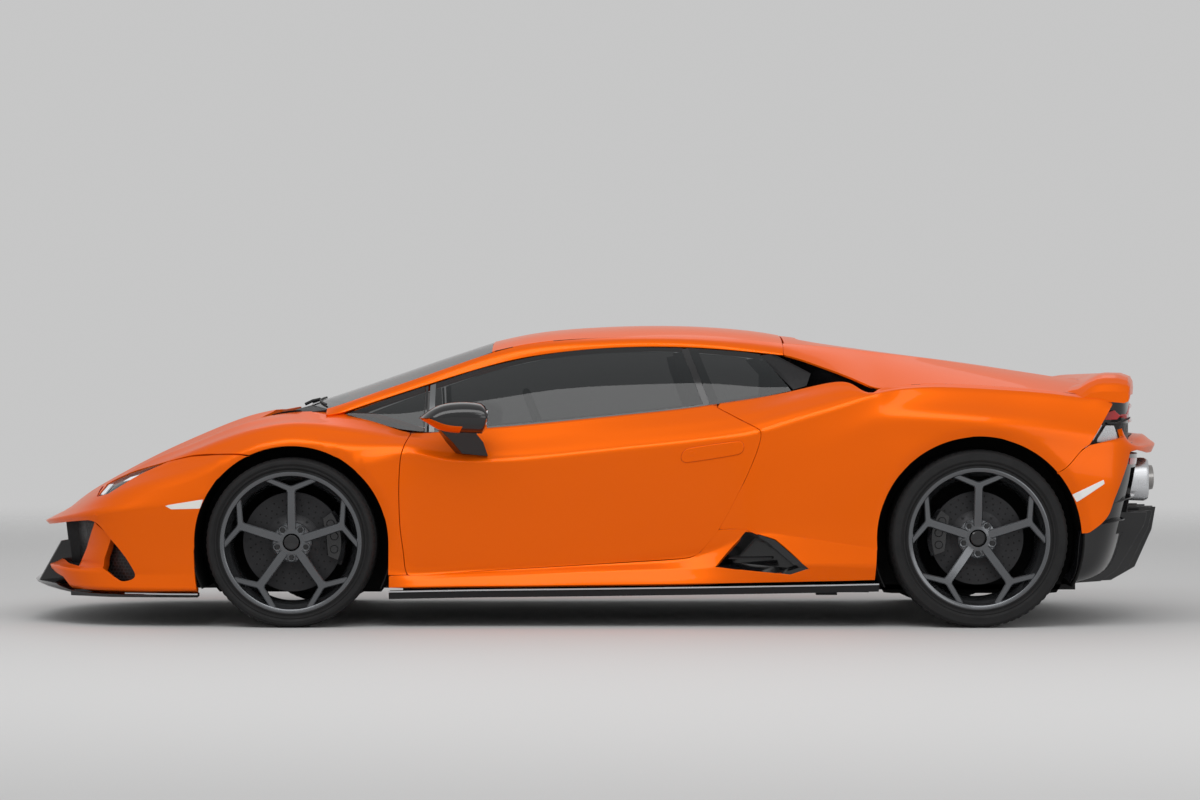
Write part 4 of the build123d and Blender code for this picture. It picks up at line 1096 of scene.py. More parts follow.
def spoke_face(wheel):
    places = [30, 60, 115, 202, 262, 280]
    base = wheel["half"] - 22
    depth = [-30, -28, -13, -4, -1, 0] if wheel["half"] < 130 else [-44, -41, -21, -7, -2, 0]
    return lambda points: base + np.interp(np.hypot(points[:, 0], points[:, 1]), places, depth)


def y_outline():
    """One Y spoke, pointing up, as a counter-clockwise (x, z) outline."""
    lean = math.radians(21.5)
    tip = np.array([math.sin(lean), math.cos(lean)])
    half = [(13.5, 30), (17.5, 58), (17.0, 110), (16.0, 190), (19, 198)]
    arm = np.array([261 * math.sin(lean), 261 * math.cos(lean)]) - np.array([0, 208])
    run = arm / np.linalg.norm(arm)
    across = np.array([run[1], -run[0]])
    end = np.array([0, 208]) + arm
    half += [tuple(end + across * 11 - run * 2), tuple(end + tip * 8 + across * 13), tuple(end + tip * 8 - across * 13),
        tuple(end - across * 9 - run * 8)]
    half += [(4, 217)]
    return np.array(half + [(-x, z) for x, z in half[::-1]])


def rim_part(wheel):
    w = wheel["half"]
    face = spoke_face(wheel)
    barrel = [(259, w - 16), (266, w - 14), (RIM_LIP_R, w - 15), (RIM_LIP_R, w - 19), (262, w - 22), (254, w - 34),
        (248, w - 48), (242, w - 60), (236, w - 90), (234, -w * 0.2), (246, -w * 0.5), (252, -(w - 24)),
        (RIM_LIP_R, -(w - 16)), (RIM_LIP_R, -(w - 13)), (258, -(w - 13)), (240, -w * 0.5), (226, -w * 0.2),
        (228, w - 92), (236, w - 60), (243, w - 46), (249, w - 34), (251, w - 26), (255, w - 18)]
    spoke = outward(plate(y_outline(), face, lambda p: face(p) - np.interp(np.hypot(p[:, 0], p[:, 1]), [30, 120, 262],
        [52, 34, 24]), 3.5))
    y = hub_face(wheel)
    hub = [(34, y + 4), (42, y + 3), (70, y - 3), (76, y - 8), (78, y - 40), (34, y - 40)]
    return join(turned(barrel, 120), *(moved(spoke, (0, 0, 0), math.radians(72 * k)) for k in range(5)),
        turned(hub, 60))


NUT_PLACES = [round_axis(57, math.radians(126 + 72 * k)) for k in range(5)]


def hub_trim(wheel):
    """Blank centre cap and five nuts in their wells."""
    y = hub_face(wheel)
    cap = turned([(0.5, y + 12), (24, y + 11), (28, y + 8), (29.5, y + 2), (29.5, y - 20), (0.5, y - 20)], 48)
    nut = turned([(0.3, y + 9), (5, y + 9), (5.5, y + 6), (9, y + 6), (10.5, y + 4), (10.5, y - 10), (0.3, y - 10)], 6)
    return join(cap, *(moved(nut, at) for at in NUT_PLACES))


def nut_wells(wheel):
    y = hub_face(wheel)
    well = turned([(12.5, y + 2), (15.5, y + 3), (17.5, y), (18.5, y - 30), (12.5, y - 30)], 28)
    return join(*(moved(well, at) for at in NUT_PLACES))


def disc_face(wheel):
    """Local y of the disc's outer face."""
    return wheel["half"] - 102


def disc_part(wheel):
    """Vented, drilled disc on its hat."""
    r, y = wheel["disc"], disc_face(wheel)
    ring = [(r, y), (r, y - 13), (104, y - 13), (104, y)]
    inner_ring = [(r, y - 21), (r, y - 34), (104, y - 34), (104, y - 21)]
    hat = [(34, y + 18), (70, y + 18), (88, y + 6), (106, y + 2), (106, y - 10), (86, y - 8), (60, y - 6), (34, y - 6)]
    vane = outward(plate([(106, -1.6), (r - 3, -1.6), (r - 3, 1.6), (106, 1.6)], lambda p: np.full(len(p), y - 12.5),
        lambda p: np.full(len(p), y - 21.5)))
    bolt = turned([(0.3, y + 8), (5, y + 7), (6, y + 2), (6, y - 2), (0.3, y - 2)], 10)
    return join(
        *(turned(p, 90) for p in (ring, inner_ring, hat)),
        *(moved(vane, (0, 0, 0), 2 * math.pi * k / 40) for k in range(40)),
        *(moved(bolt, round_axis(94, 2 * math.pi * (k + 0.5) / 10)) for k in range(10)),
    )


def disc_holes(wheel):
    """Drillings drawn as shallow near-black dots just proud of the disc's outer face, as painted shade in the holes."""
    y = disc_face(wheel)
    dot = turned([(0.2, y + 0.4), (3.0, y + 0.4), (3.4, y), (0.2, y)], 8)
    return join(*(moved(dot, round_axis(r, 2 * math.pi * (k + n / 3) / 30)) for k in range(30)
        for n, r in enumerate((122, 142, 162))))


def caliper_part(wheel, centre):
    """Fixed caliper over the disc's edge, with piston bosses. centre is its angle in degrees, 0 rearwards."""
    r, y, span = wheel["disc"], disc_face(wheel), 58
    angles = np.radians(np.linspace(centre - span / 2, centre + span / 2, 15))
    section = [(r - 62, y + 6), (r - 56, y + 34), (r - 30, y + 40), (r - 2, y + 38), (r + 14, y + 26), (r + 16, y - 58),
        (r - 6, y - 72), (r - 52, y - 68), (r - 58, y - 40), (r - 52, y - 38), (r + 3, y - 38), (r + 3, y + 4)]
    rings = []
    for k, a in enumerate(angles):
        taper = 1.0 - 0.28 * abs(2 * k / (len(angles) - 1) - 1) ** 3
        rings.append([((r + (radius - r) * taper) * math.cos(a), across, (r + (radius - r) * taper) * math.sin(a))
            for radius, across in section])
    boss = turned([(0.3, y + 44), (13, y + 44), (16, y + 41), (17, y + 30), (0.3, y + 30)], 24)
    return join(loft(rings), *(moved(boss, round_axis(r - 26, math.radians(centre + span * place)))
        for place in (-0.3, 0.0, 0.3)))


RUBBER = new_material("rubber", (0.012, 0.012, 0.0125), rough=0.78, specular=0.25)
feed(RUBBER, "Roughness", ramp(RUBBER, noise(RUBBER, 22.0, 5.0), (0.3, 0.58), (0.7, 0.78)))
RIM_METAL = new_material("rim_metal", (0.125, 0.13, 0.138), rough=0.24, metal=0.9, coat=0.4, coat_rough=0.1)
DISC_METAL = new_material("disc_ceramic", (0.026, 0.026, 0.028), rough=0.45, metal=0.6)
CALIPER = new_material("caliper_black", (0.008, 0.008, 0.009), rough=0.25, coat=0.4)
# near-black for the disc's drillings: painted shade in the holes
HOLE_SHADE = new_material("hole_black", (0.004, 0.004, 0.004), rough=0.9)

for end, wheel in WHEELS.items():
    holder, caliper_at = ("knuckle_{}", 8) if end == "front" else ("chassis", 172)
    parts = (
        # name, part, material, body, replaced node, slot, angle between smooth faces
        ("tyre_tread", tyre_part(wheel), RUBBER, "wheel_{}_{}", "tyre", "tyre", 28),
        ("rim_spokes", rim_part(wheel), RIM_METAL, "wheel_{}_{}", "rim", "rim", 24),
        ("rim_nut_wells", nut_wells(wheel), RIM_METAL, "wheel_{}_{}", None, "rim", 24),
        ("hub_cap", hub_trim(wheel), GLOSS_BLACK, "wheel_{}_{}", None, "black_gloss", 24),
        ("brake_disc", disc_part(wheel), DISC_METAL, "wheel_{}_{}", "disc", "disc", 30),
        ("disc_drilling_shade", disc_holes(wheel), HOLE_SHADE, "wheel_{}_{}", None, "disc", 30),
        ("brake_caliper", caliper_part(wheel, caliper_at), CALIPER, None, None, "suspension", 30),
    )
    for side_name, mirror in (("left", False), ("right", True)):
        at = (wheel["u"], -wheel["y"] if mirror else wheel["y"], wheel["z"])
        tag = f"{end}_{side_name}"
        for name, part, material, body, node, slot, angle in parts:
            body = body.format(end, side_name) if body else holder.format(side_name)
            solid(f"{name}_{tag}", moved(part, at, 0, mirror), material, body, (f"{node}_{tag}",) if node else (),
                angle=angle)


# ---- small parts in the body ----
def box_part(u0, u1, y0, y1, z0, z1):
    v = [(u, y, z) for u in (u0, u1) for y in (y0, y1) for z in (z0, z1)]
    f = [(0, 1, 3, 2), (4, 6, 7, 5), (0, 4, 5, 1), (2, 3, 7, 6), (0, 2, 6, 4), (1, 5, 7, 3)]
    return outward((np.array(v, float), f))


def side_plate(outline, y0, y1):
    """A plate between two depths from a side-view outline."""
    return loft([[(u, y0, z) for u, z in outline], [(u, y1, z) for u, z in outline]])


def swept(stations, section):
    """A bar with one (y, z) section through (u, y, z) stations."""
    return loft([[(u, y + dy, z + dz) for dy, dz in section] for u, y, z in stations])


def tube(points, radius, sides=12):
    """A round bar along (u, y, z) points."""
    points = np.asarray(points, float)
    run = unit(np.gradient(points, axis=0))
    helper = np.array([0.0, 0.0, 1.0]) if abs(run[0][2]) < 0.8 else np.array([0.0, 1.0, 0.0])
    rings = []
    for p, d in zip(points, run):
        a = unit(np.cross(d, helper))
        b = np.cross(d, a)
        rings.append([tuple(p + radius * (math.cos(t) * a + math.sin(t) * b))
            for t in np.linspace(0, 2 * math.pi, sides, endpoint=False)])
    return loft(rings)


def twin(part):
    return join(part, mirrored(part))


def surface_strip(surface, line, width, offset):
    """A flat trim strip that follows parameters along a surface, width mm wide."""
    flat = surface.metric(line)
    run = unit(np.gradient(flat, axis=0))
    across = np.stack((-run[:, 1], run[:, 0]), -1) * width / 2
    loop = np.concatenate((flat - across, (flat + across)[::-1]))
    return panel_data(surface, surface.params(loop), gap=0, lip=2.0, offset=offset, spacing=30.0, radius=0.5)


def mesh_material(name, base, pitch, plane):
    """Black open mesh: staggered cells of a pitch in metres, laid in the plane of two axes, such as "YZ". The cells are
    painted near-black as the shade seen through the openings.
    """
    mat = new_material(name, base, rough=0.45)
    links = mat.node_tree.links
    coord, split, pair, cells = new_nodes(mat.node_tree, "TexCoord", "SeparateXYZ", "CombineXYZ", "TexBrick")
    links.new(coord.outputs["Object"], split.inputs["Vector"])
    links.new(split.outputs[plane[0]], pair.inputs["X"])
    links.new(split.outputs[plane[1]], pair.inputs["Y"])
    cells.offset = 0.5
    # the cells' near-black is painted shade for the openings; the strands keep the mesh's own colour
    opening_shade = (0.0015, 0.0015, 0.0015, 1)
    set_inputs(cells, {
        "Scale": 1.0, "Brick Width": pitch * 1.15, "Row Height": pitch, "Mortar Size": pitch * 0.16,
        "Mortar Smooth": 0.3,
        "Color1": opening_shade, "Color2": opening_shade, "Mortar": (*[c * 3.0 for c in base], 1),
    })
    links.new(pair.outputs["Vector"], cells.inputs["Vector"])
    feed(mat, "Base Color", cells.outputs["Color"])
    feed(mat, "Normal", bump(mat, cells.outputs["Fac"], 0.8, 0.006))
    return mat


MESH_BLACK = mesh_material("open_mesh", (0.010, 0.010, 0.011), 0.013, "YZ")
MESH_SIDE = mesh_material("open_mesh_side", (0.008, 0.008, 0.009), 0.013, "XZ")
SILVER = new_material("satin_silver", (0.62, 0.63, 0.65), rough=0.28, metal=0.9)
LENS_CLEAR = new_material("lens_clear", (0.02, 0.022, 0.025), rough=0.03, alpha=0.22, specular=0.5)
LENS_RED = new_material("lens_red", (0.42, 0.004, 0.006), rough=0.08, coat=1.0)
LED_WHITE = new_material("led_white", (0.85, 0.88, 0.92), rough=0.2)
REFLECTOR = new_material("marker_clear", (0.78, 0.77, 0.74), rough=0.18, coat=1.0)
SHADOW_BLACK = new_material("shadow_black", (0.006, 0.006, 0.007), rough=0.85)

# mouth: mesh behind the opening, guide vane, and the black splitter under the blade
WALL = [(0, -905), (280, -895), (480, -862), (640, -800), (760, -715), (820, -640), (846, -575)]


def mouth_wall(places):
    return loft([[(u, y, 150), (u - 22, y, 400), (u + 40, y, 400), (u + 40, y, 150)] for y, u in places])


solid("front_mouth_mesh", twin(mouth_wall(WALL[:4])), MESH_BLACK, nodes=("grilles",))
solid("front_corner_mesh", twin(mouth_wall(WALL[3:])), MESH_SIDE)
mouth_floor = loft([[(u - 78, y, 222), (u + 20, y, 222), (u + 20, y, 230), (u - 78, y, 230)] for y, u in WALL[:4]])
solid("front_mouth_floor", twin(mouth_floor), SATIN_BLACK)
vane = loft([[(-905, 470, 226), (-860, 500, 226), (-868, 500, 396), (-925, 470, 396)],
    [(-905, 478, 226), (-860, 508, 226), (-868, 508, 396), (-925, 478, 396)]])
solid("mouth_vanes", twin(vane), SATIN_BLACK, bevel=2)

SPLITTER = [
    # y, then u and z of the front edge
    (0, -1088, 160), (150, -1085, 160), (330, -1068, 158), (480, -1036, 155), (580, -990, 148), (660, -930, 139),
    (730, -860, 129),
]
splitter = loft([[(u, y, z), (u + 12, y, z + 7), (u + 110, y, z + 16), (-640, y, 150), (-640, y, 112),
    (u + 90, y, z - 18), (u + 14, y, z - 8)] for y, u, z in SPLITTER])
end_fin = loft([
    [(-1032, 470, 160), (-946, 470, 314), (-908, 470, 320), (-880, 470, 262), (-890, 470, 150)],
    [(-1026, 482, 160), (-940, 482, 314), (-904, 482, 320), (-876, 482, 262), (-886, 482, 150)],
])
LIP_PLAN = [(-866, 736, 133), (-800, 776, 128), (-735, 832, 126), (-690, 856, 126), (-600, 874, 126), (-380, 892, 127)]
lower_lip = loft([[(u, 690, z), (u, y - 4, z), (u, y, z - 6), (u, y - 6, 113), (u, 690, 113)] for u, y, z in LIP_PLAN])
solid("splitter_blade", join(twin(splitter), twin(lower_lip)), GLOSS_BLACK, nodes=("front_splitter",),
    bevel=2)
solid("splitter_fins", twin(end_fin), GLOSS_BLACK, bevel=2)


def inlay(points, lip=3, offset=0.8):
    """A four-sided piece set into the skin."""
    return panel_data(SKIN, side(points, corners=(1, 2, 3)), gap=0, lip=lip, offset=offset)


def oval(u, z, half_u, half_z):
    return [(u + half_u * math.cos(a), z + half_z * math.sin(a)) for a in np.linspace(0, 6.2, 14)]


# headlamps: dark housing, clear cover just under the skin, light bars
lamp_loop = path(side(LAMP_TOP, corners=(1,)), side(LAMP_BOTTOM, corners=(2,)))
show("headlamp_cover", panel_data(SKIN, lamp_loop, gap=2.5, lip=3, offset=-3.0), LENS_CLEAR, nodes=("headlamps",))
show("headlamp_housing", panel_data(SKIN, lamp_loop, gap=0.0, lip=6, offset=-9.0), GLOSS_BLACK)
show("headlamp_bezel", inlay([(-752, 505), (-733, 540), (-712, 544), (-736, 505)], 4, -2.0), LED_WHITE)
show("headlamp_bar", inlay([(-660, 556), (-632, 572), (-575, 586), (-610, 566)], 4, -2.0), LED_WHITE)


def aimed(part, at, direction):
    """A local part whose +y axis is turned along a direction of (u, y, z)."""
    v, f = part
    d = unit(np.array(direction, float))
    a = unit(np.cross(d, [0.0, 0.0, 1.0]))
    b = np.cross(a, d)
    return v[:, :1] * a + v[:, 1:2] * d + v[:, 2:3] * b + np.asarray(at, float), f


lamp_glass = aimed(turned([(0.5, 12), (16, 9), (23, 0), (23, -24), (0.5, -24)], 32), (-690, 690, 520),
    (-0.75, 0.45, 0.5))
solid("headlamp_projector", twin(outward(lamp_glass)), SILVER, angle=50)

# side markers and parking sensor
show("front_marker", inlay([(-477, 464), (-334, 487), (-346, 455), (-455, 452)]), REFLECTOR)
show("rear_marker", inlay([(2974, 507), (3092, 562), (3095, 549), (2990, 480)]), REFLECTOR)
show("parking_sensor", panel_data(SKIN, side(oval(-754, 420, 9, 9), step=6), gap=0, lip=2, offset=0.8), PAINT)

# silver line, a painted highlight along the black skirt's upper edge, and the black skirt along the bottom
LINE_FRONT = [(-640, 850, 124), (-470, 886, 123), (-356, 900, 123)]
LINE_MID = [(372, 909, 133), (700, 906, 139), (1154, 908, 144), (1640, 916, 151), (2060, 928, 159), (2238, 930, 163)]
skirt_front = swept([(u, y + 2, 0) for u, y, _ in LINE_FRONT], [(-60, 116), (0, 114), (4, 126), (-60, 130)])
skirt_mid = swept([(u, y - 4, z - 1) for u, y, z in LINE_MID], [(-70, -22), (0, -24), (6, 0), (-70, 6)])
solid("side_skirts", twin(join(skirt_front, skirt_mid)), SATIN_BLACK, bevel=2)
# black trim strips coloured silver: painted highlight
lines = [swept(stations, [(0, 0), (out, 1), (out, 6), (0, 7)]) for stations, out in ((LINE_FRONT, 7), (LINE_MID, 5))]
solid("skirt_lines", twin(join(*lines)), SILVER)


# ---- rear deck and spoiler ----
DECK_CENTRE = [(1892, 1128), (1960, 1120), (2061, 1097), (2233, 1071), (2400, 1048), (2603, 1023), (2807, 992),
    (2960, 968), (3070, 950), (3134, 944)]


def deck_height(u, y):
    """Height of the lid between its edges."""
    edge_y, edge_z = (np.interp(u, [p[0] for p in DECK_EDGE], [p[axis] for p in DECK_EDGE]) for axis in (1, 2))
    centre = np.interp(u, *zip(*DECK_CENTRE))
    return edge_z + np.interp(np.abs(y) / edge_y, [0, 0.45, 0.8, 1], [1, 0.86, 0.42, 0]) * (centre - edge_z)


DECK = Surface([[(u, y * s, deck_height(u, y * s)) for s in (1, 0.8, 0.45, 0)] for u, y, z in DECK_EDGE],
    ("edge", "side", "mid", "centre"), row_ends="last")
deck_loop = patch(DECK, (0.1, 0), (11.35, 0), (11.35, 3), (7.45, 3), (7.45, 1.85), (7.25, 1.7), (1.2, 1.42), (1.0, 1.6),
    (1.0, 3), (0.1, 3))
show("engine_cover_skin", panel_data(DECK, deck_loop, seam=centre_seam, lip=9), PAINT, "rear_lid", ("engine_cover",))
slats = []
for k in range(5):
    u0 = 1972 + 108 * k
    half = 316 - 13 * k
    # place, where the deck's height is taken, and depth
    section = ((0, 0, -30), (92, 92, -5), (96, 96, -10), (3, 0, -36))
    slats.append(loft([[(u0 + du, y, deck_height(u0 + at, y) + dz) for du, at, dz in section]
        for y in np.linspace(-half, half, 15)]))
solid("engine_louvres", join(*slats), SATIN_BLACK, "rear_lid", bevel=1.2)

# spoiler stations: y, leading edge u, trailing edge u, then top, and top and bottom of the trailing edge in z
SPOILER = [
    (0, 3072, 3336, 977, 943, 891), (200, 3072, 3318, 977, 943, 891), (400, 3070, 3284, 976, 942, 891),
    (560, 3050, 3254, 975, 941, 890),
    (660, 3012, 3238, 973, 939, 889), (740, 2985, 3226, 966, 934, 888), (800, 2972, 3216, 952, 925, 882),
    (838, 2985, 3208, 930, 914, 873), (858, 3010, 3200, 900, 892, 862),
]


def body_height(u, y):
    """Height of the painted surface ahead of the spoiler at a place in plan."""
    if y < 445:
        return float(deck_height(u, y))
    if y < 820:
        return float(BUTTRESS.at(BUTTRESS.find([(u, y)], axes=(0, 1)))[0][2])
    return float(np.interp(y, [820, 858, 875], [882, 874, 850]))


spoiler_rings = []
for y, u0, u1, top, edge_top, edge_low in SPOILER:
    z0 = body_height(u0, y) + 0.5
    spoiler_rings.append([
        (u0, y, z0), (u0 + 0.35 * (u1 - 130 - u0), y, z0 + 0.16 * (top - z0)),
        (u0 + 0.72 * (u1 - 130 - u0), y, z0 + 0.66 * (top - z0)), (u1 - 128, y, top - 4),
        (u1 - 100, y, top), (u1 - 48, y, top - 1), (u1 - 12, y, top - 0.42 * (top - edge_top)), (u1 - 2, y, edge_top),
        (u1, y, 0.5 * (edge_top + edge_low)),
        (u1 - 2, y, edge_low), (u1 - 18, y, edge_low - 7), (u1 - 75, y, edge_low - 2), (u1 - 130, y, edge_low + 6),
        (u0 + 40, y, z0 - 24), (u0 + 6, y, z0 - 20),
    ])
spoiler_rings = np.array(spoiler_rings)
dense = [a + (b - a) * f for a, b in zip(spoiler_rings[:-1], spoiler_rings[1:]) for f in np.linspace(0, 1, 6)[:-1]]
left_rings = [list(map(tuple, ring)) for ring in (*dense, spoiler_rings[-1])]
right_rings = [[(u, -y, z) for u, y, z in ring] for ring in left_rings[:0:-1]]
solid("rear_spoiler_blade", loft(right_rings + left_rings), PAINT, nodes=("rear_spoiler",), angle=32)

# ---- tail: black recess with the lamps, the mesh and the end plates, coloured silver as a painted highlight ----
WALL_PLAN = [(3046, 846), (3135, 812), (3196, 765), (3240, 600), (3256, 300), (3262, 0)]


def wall_u(y):
    return float(np.interp(-y, [-p[1] for p in WALL_PLAN], [p[0] for p in WALL_PLAN]))


def along_wall(step, section):
    """A band along the back wall, both sides, with one (u, z) section."""
    line = smooth_line([(u, y, 0) for u, y in WALL_PLAN], step)
    return twin(loft([[(u + du, y, z) for du, z in section] for u, y, _ in line]))


def bar_on_wall(points, width, depth):
    """A flat lamp bar along (y, z) points on the back wall."""
    line = smooth_line(points, 12, corners=range(len(points)))
    run = np.gradient(line, axis=0)
    run *= width / 2 / np.linalg.norm(run, axis=1)[:, None]
    rings = []
    for (y, z), (dy, dz) in zip(line, run):
        low, high = (y + dz, z - dy), (y - dz, z + dy)
        rings.append([(wall_u(p[0]) + out, p[0], p[1]) for p, out in ((low, -2), (low, depth * 0.7), ((y, z), depth),
            (high, depth * 0.7), (high, -2))])
    return loft(rings)


solid("tail_wall", along_wall(30, [(0, 777), (0, 884), (-12, 884), (-12, 777)]), GLOSS_BLACK, nodes=("tail_lamps",))
solid("tail_mesh", along_wall(30, [(-4, 690), (-4, 778), (-16, 778), (-16, 690)]), MESH_BLACK)
lamp_bars = [bar_on_wall(p, 15, 11) for p in ([(806, 806), (728, 804)], [(740, 803), (668, 840), (470, 850)],
    [(740, 805), (672, 788), (470, 790)])]
lamp_end = side_plate([(3106, 790), (3160, 792), (3172, 806), (3150, 828), (3124, 820)], 786, 824)
solid("tail_lamp_bars", twin(join(*lamp_bars, lamp_end)), LENS_RED, angle=40, bevel=1.5)
winglet = side_plate([(3118, 781), (3158, 782), (3212, 803), (3206, 793), (3160, 773), (3125, 774)], 780, 828)
solid("tail_winglet", twin(winglet), GLOSS_BLACK, bevel=1.5)
# black end plate and stripe coloured silver: painted highlight
end_plate = side_plate([(3114, 769), (3146, 769), (3170, 705), (3074, 705)], 812, 832)
stripe = side_plate([(3096, 772), (3102, 771), (3062, 704), (3054, 704)], 812, 838)
solid("tail_end_plates", twin(join(end_plate, stripe)), SILVER, bevel=1.5)
solid("tail_shelf", along_wall(40, [(-40, 690), (22, 697), (22, 703), (-40, 703)]), SATIN_BLACK)

# lower tail: gloss black body under the painted shelf, from the corner to the centre at each height
LOWER_ROWS = ("corner", "side", "bend", "mid", "centre")
LOWER = [
    [(2975, 862, 168), (3010, 780, 168), (3030, 600, 168), (3040, 300, 168), (3045, 0, 168)],
    [(2995, 876, 205), (3070, 826, 205), (3150, 600, 205), (3190, 300, 205), (3200, 0, 205)],
    [(3003, 886, 290), (3110, 838, 290), (3196, 600, 290), (3228, 300, 290), (3238, 0, 290)],
    [(3010, 890, 380), (3130, 844, 380), (3222, 600, 380), (3252, 300, 380), (3264, 0, 380)],
    [(3060, 892, 460), (3150, 846, 460), (3238, 600, 460), (3268, 300, 460), (3280, 0, 460)],
    [(3110, 890, 560), (3180, 838, 560), (3256, 605, 560), (3286, 300, 560), (3296, 0, 560)],
    [(3130, 886, 660), (3195, 830, 660), (3270, 610, 660), (3298, 300, 660), (3305, 0, 660)],
]
TAIL_LOW = Surface(LOWER[::-1], LOWER_ROWS, row_ends="last")


def low_steps(*pairs, step=STEP):
    """Parameters along straight runs between (height, row) numbers of the table."""
    return steps(TAIL_LOW, *[(len(LOWER) - 1 - height, row) for height, row in pairs], step=step)


low_loop = low_steps((0, 0), (0, 4), (3.35, 4), (3.35, 2.75), (5.75, 2.45), (5.75, 4), (6, 4), (6, 0), (0, 0))
side_vent = low_steps((2.75, 1.2), (5.5, 1.3), (5.5, 2.2), (4.6, 2.35), (2.75, 2.2), (2.75, 1.2))
show("rear_diffuser_body", panel_data(TAIL_LOW, low_loop, holes=[side_vent], gap=0, lip=34, seam=centre_seam),
    GLOSS_BLACK, nodes=("rear_diffuser",))


def low_patch(*pairs, offset):
    return panel_data(TAIL_LOW, low_steps(*pairs, pairs[0]), gap=0, lip=4, offset=offset, radius=1.0)


show("tail_side_mesh", low_patch((2.6, 1.05), (5.7, 1.1), (5.7, 2.5), (2.6, 2.4), offset=-26), MESH_BLACK)
show("tail_centre_mesh", low_patch((3.2, 2.3), (5.9, 2.3), (5.9, 4), (3.2, 4), offset=-26), MESH_BLACK)


def low_ledge(pairs, reach, thick):
    """A thin blade that stands out from the lower tail along (height, row) numbers."""
    line = TAIL_LOW.at(low_steps(*pairs, step=20))
    out = unit(np.gradient(line, axis=0)[:, [1, 0]] * [-1, 1])
    out *= np.sign(out[len(out) // 2, 0])
    rings = []
    for k, ((u, y, z), (du, dy)) in enumerate(zip(line, out)):
        grow = reach * min(1.0, 4.0 * k / len(line), 4.0 * (len(line) - 1 - k) / len(line)) + 1.0
        rings.append([(u - du * 25, y - dy * 25, z - thick), (u + du * grow, y + dy * grow, z - thick / 2),
            (u + du * grow, y + dy * grow, z + 1), (u - du * 25, y - dy * 25, z + thick)])
    return loft(rings)


solid("tail_ledges", twin(join(low_ledge([(4.15, 0.75), (4.3, 1.2), (4.4, 1.8), (4.4, 2.4)], 16, 6),
    low_ledge([(3.0, 0.1), (3.25, 0.6), (3.4, 1.0), (3.45, 1.5)], 20, 7))), GLOSS_BLACK, bevel=1.5)
FINS = (  # y, and the outline in side view
    (100, [(2990, 140), (3240, 150), (3330, 200), (3397, 350), (3412, 440), (3220, 440), (3120, 260)]),
    (235, [(2990, 140), (3230, 150), (3318, 200), (3386, 350), (3402, 440), (3220, 440), (3120, 260)]),
    (400, [(2985, 142), (3200, 155), (3270, 210), (3345, 360), (3362, 430), (3210, 430), (3110, 260)]),
    (585, [(2980, 150), (3130, 160), (3195, 204), (3302, 382), (3312, 430), (3190, 430), (3090, 260)]),
)
solid("diffuser_fins", twin(join(*(side_plate(outline, y - 5, y + 5) for y, outline in FINS))), GLOSS_BLACK,
    bevel=1.5)
show("rear_reflectors", low_patch((5.62, 1.1), (5.84, 1.1), (5.84, 1.85), (5.62, 1.85), offset=3), LENS_RED)


def rounded_box(y0, y1, z0, z1, r, u):
    """A rounded rectangle across the car at a station, as (u, y, z) points."""
    corners = ((y1 - r, z1 - r, 0), (y0 + r, z1 - r, 90), (y0 + r, z0 + r, 180), (y1 - r, z0 + r, 270))
    return [(u, y + r * math.cos(a), z + r * math.sin(a)) for y, z, first in corners
        for a in np.radians(np.linspace(first, first + 90, 6))]


EXHAUST = new_material("exhaust_steel", (0.36, 0.35, 0.34), rough=0.25, metal=1.0)
PIPE_AT, PIPE_AXIS = (3322, 205, 556), (1, 0, 0.02)
SURROUND = [(120, 300, 468, 632, 50, 3235), (116, 304, 464, 636, 54, 3352), (122, 298, 470, 630, 50, 3366),
    (130, 290, 478, 622, 44, 3362), (136, 284, 484, 616, 40, 3310)]
solid("exhaust_surrounds", twin(loft([rounded_box(*row) for row in SURROUND])), SILVER, angle=50)
pipe = aimed(turned([(40, 0), (40, 66), (43, 72), (48, 70), (50, 60), (50, -60), (40, -60)], 48), PIPE_AT, PIPE_AXIS)
solid("exhaust_pipes", twin(pipe), EXHAUST, nodes=("exhaust_tips",), angle=40)
bore = aimed(turned([(0.5, 4), (40.5, 4), (40.5, -10), (0.5, -10)], 36), PIPE_AT, PIPE_AXIS)
solid("exhaust_bores", twin(bore), SHADOW_BLACK, angle=40)

# ---- intakes ----
mouth_line = smooth_line(POD_MOUTH, 14, closed=True, corners=range(6))
skin_y = SKIN.at(SKIN.find(mouth_line, rows=(0, SKIN.row["low"])))[:, 1]
front_ring = [(u, y - 3, z) for (u, z), y in zip(mouth_line, skin_y)]
lip_ring = [(u - 34 * max(0.0, min(1.0, (u - 1770) / 60)), y - 10, z + (4 if z < 240 else -3))
    for (u, z), y in zip(mouth_line, skin_y)]
deep_ring = [(0.72 * u + 0.28 * 1800 + 20, y - 95, 0.7 * z + 0.3 * 275) for (u, z), y in zip(mouth_line, skin_y)]
places, faces = loft([front_ring, lip_ring, deep_ring])
walls = [f[::-1] for f in faces if len(f) == 4]
floor = [f for f in faces if len(f) > 4 and min(f) >= 2 * len(front_ring)]
solid("side_intake_ducts", twin((places, walls + floor)), GLOSS_BLACK, nodes=("side_intakes",))
blade = loft([[(1690, 890, 262), (1840, 885, 262), (1840, 885, 272), (1690, 890, 270)],
    [(1665, 926, 262), (1832, 922, 260), (1832, 922, 267), (1665, 926, 266)]])
solid("side_intake_blades", twin(blade), SATIN_BLACK, bevel=1.5)

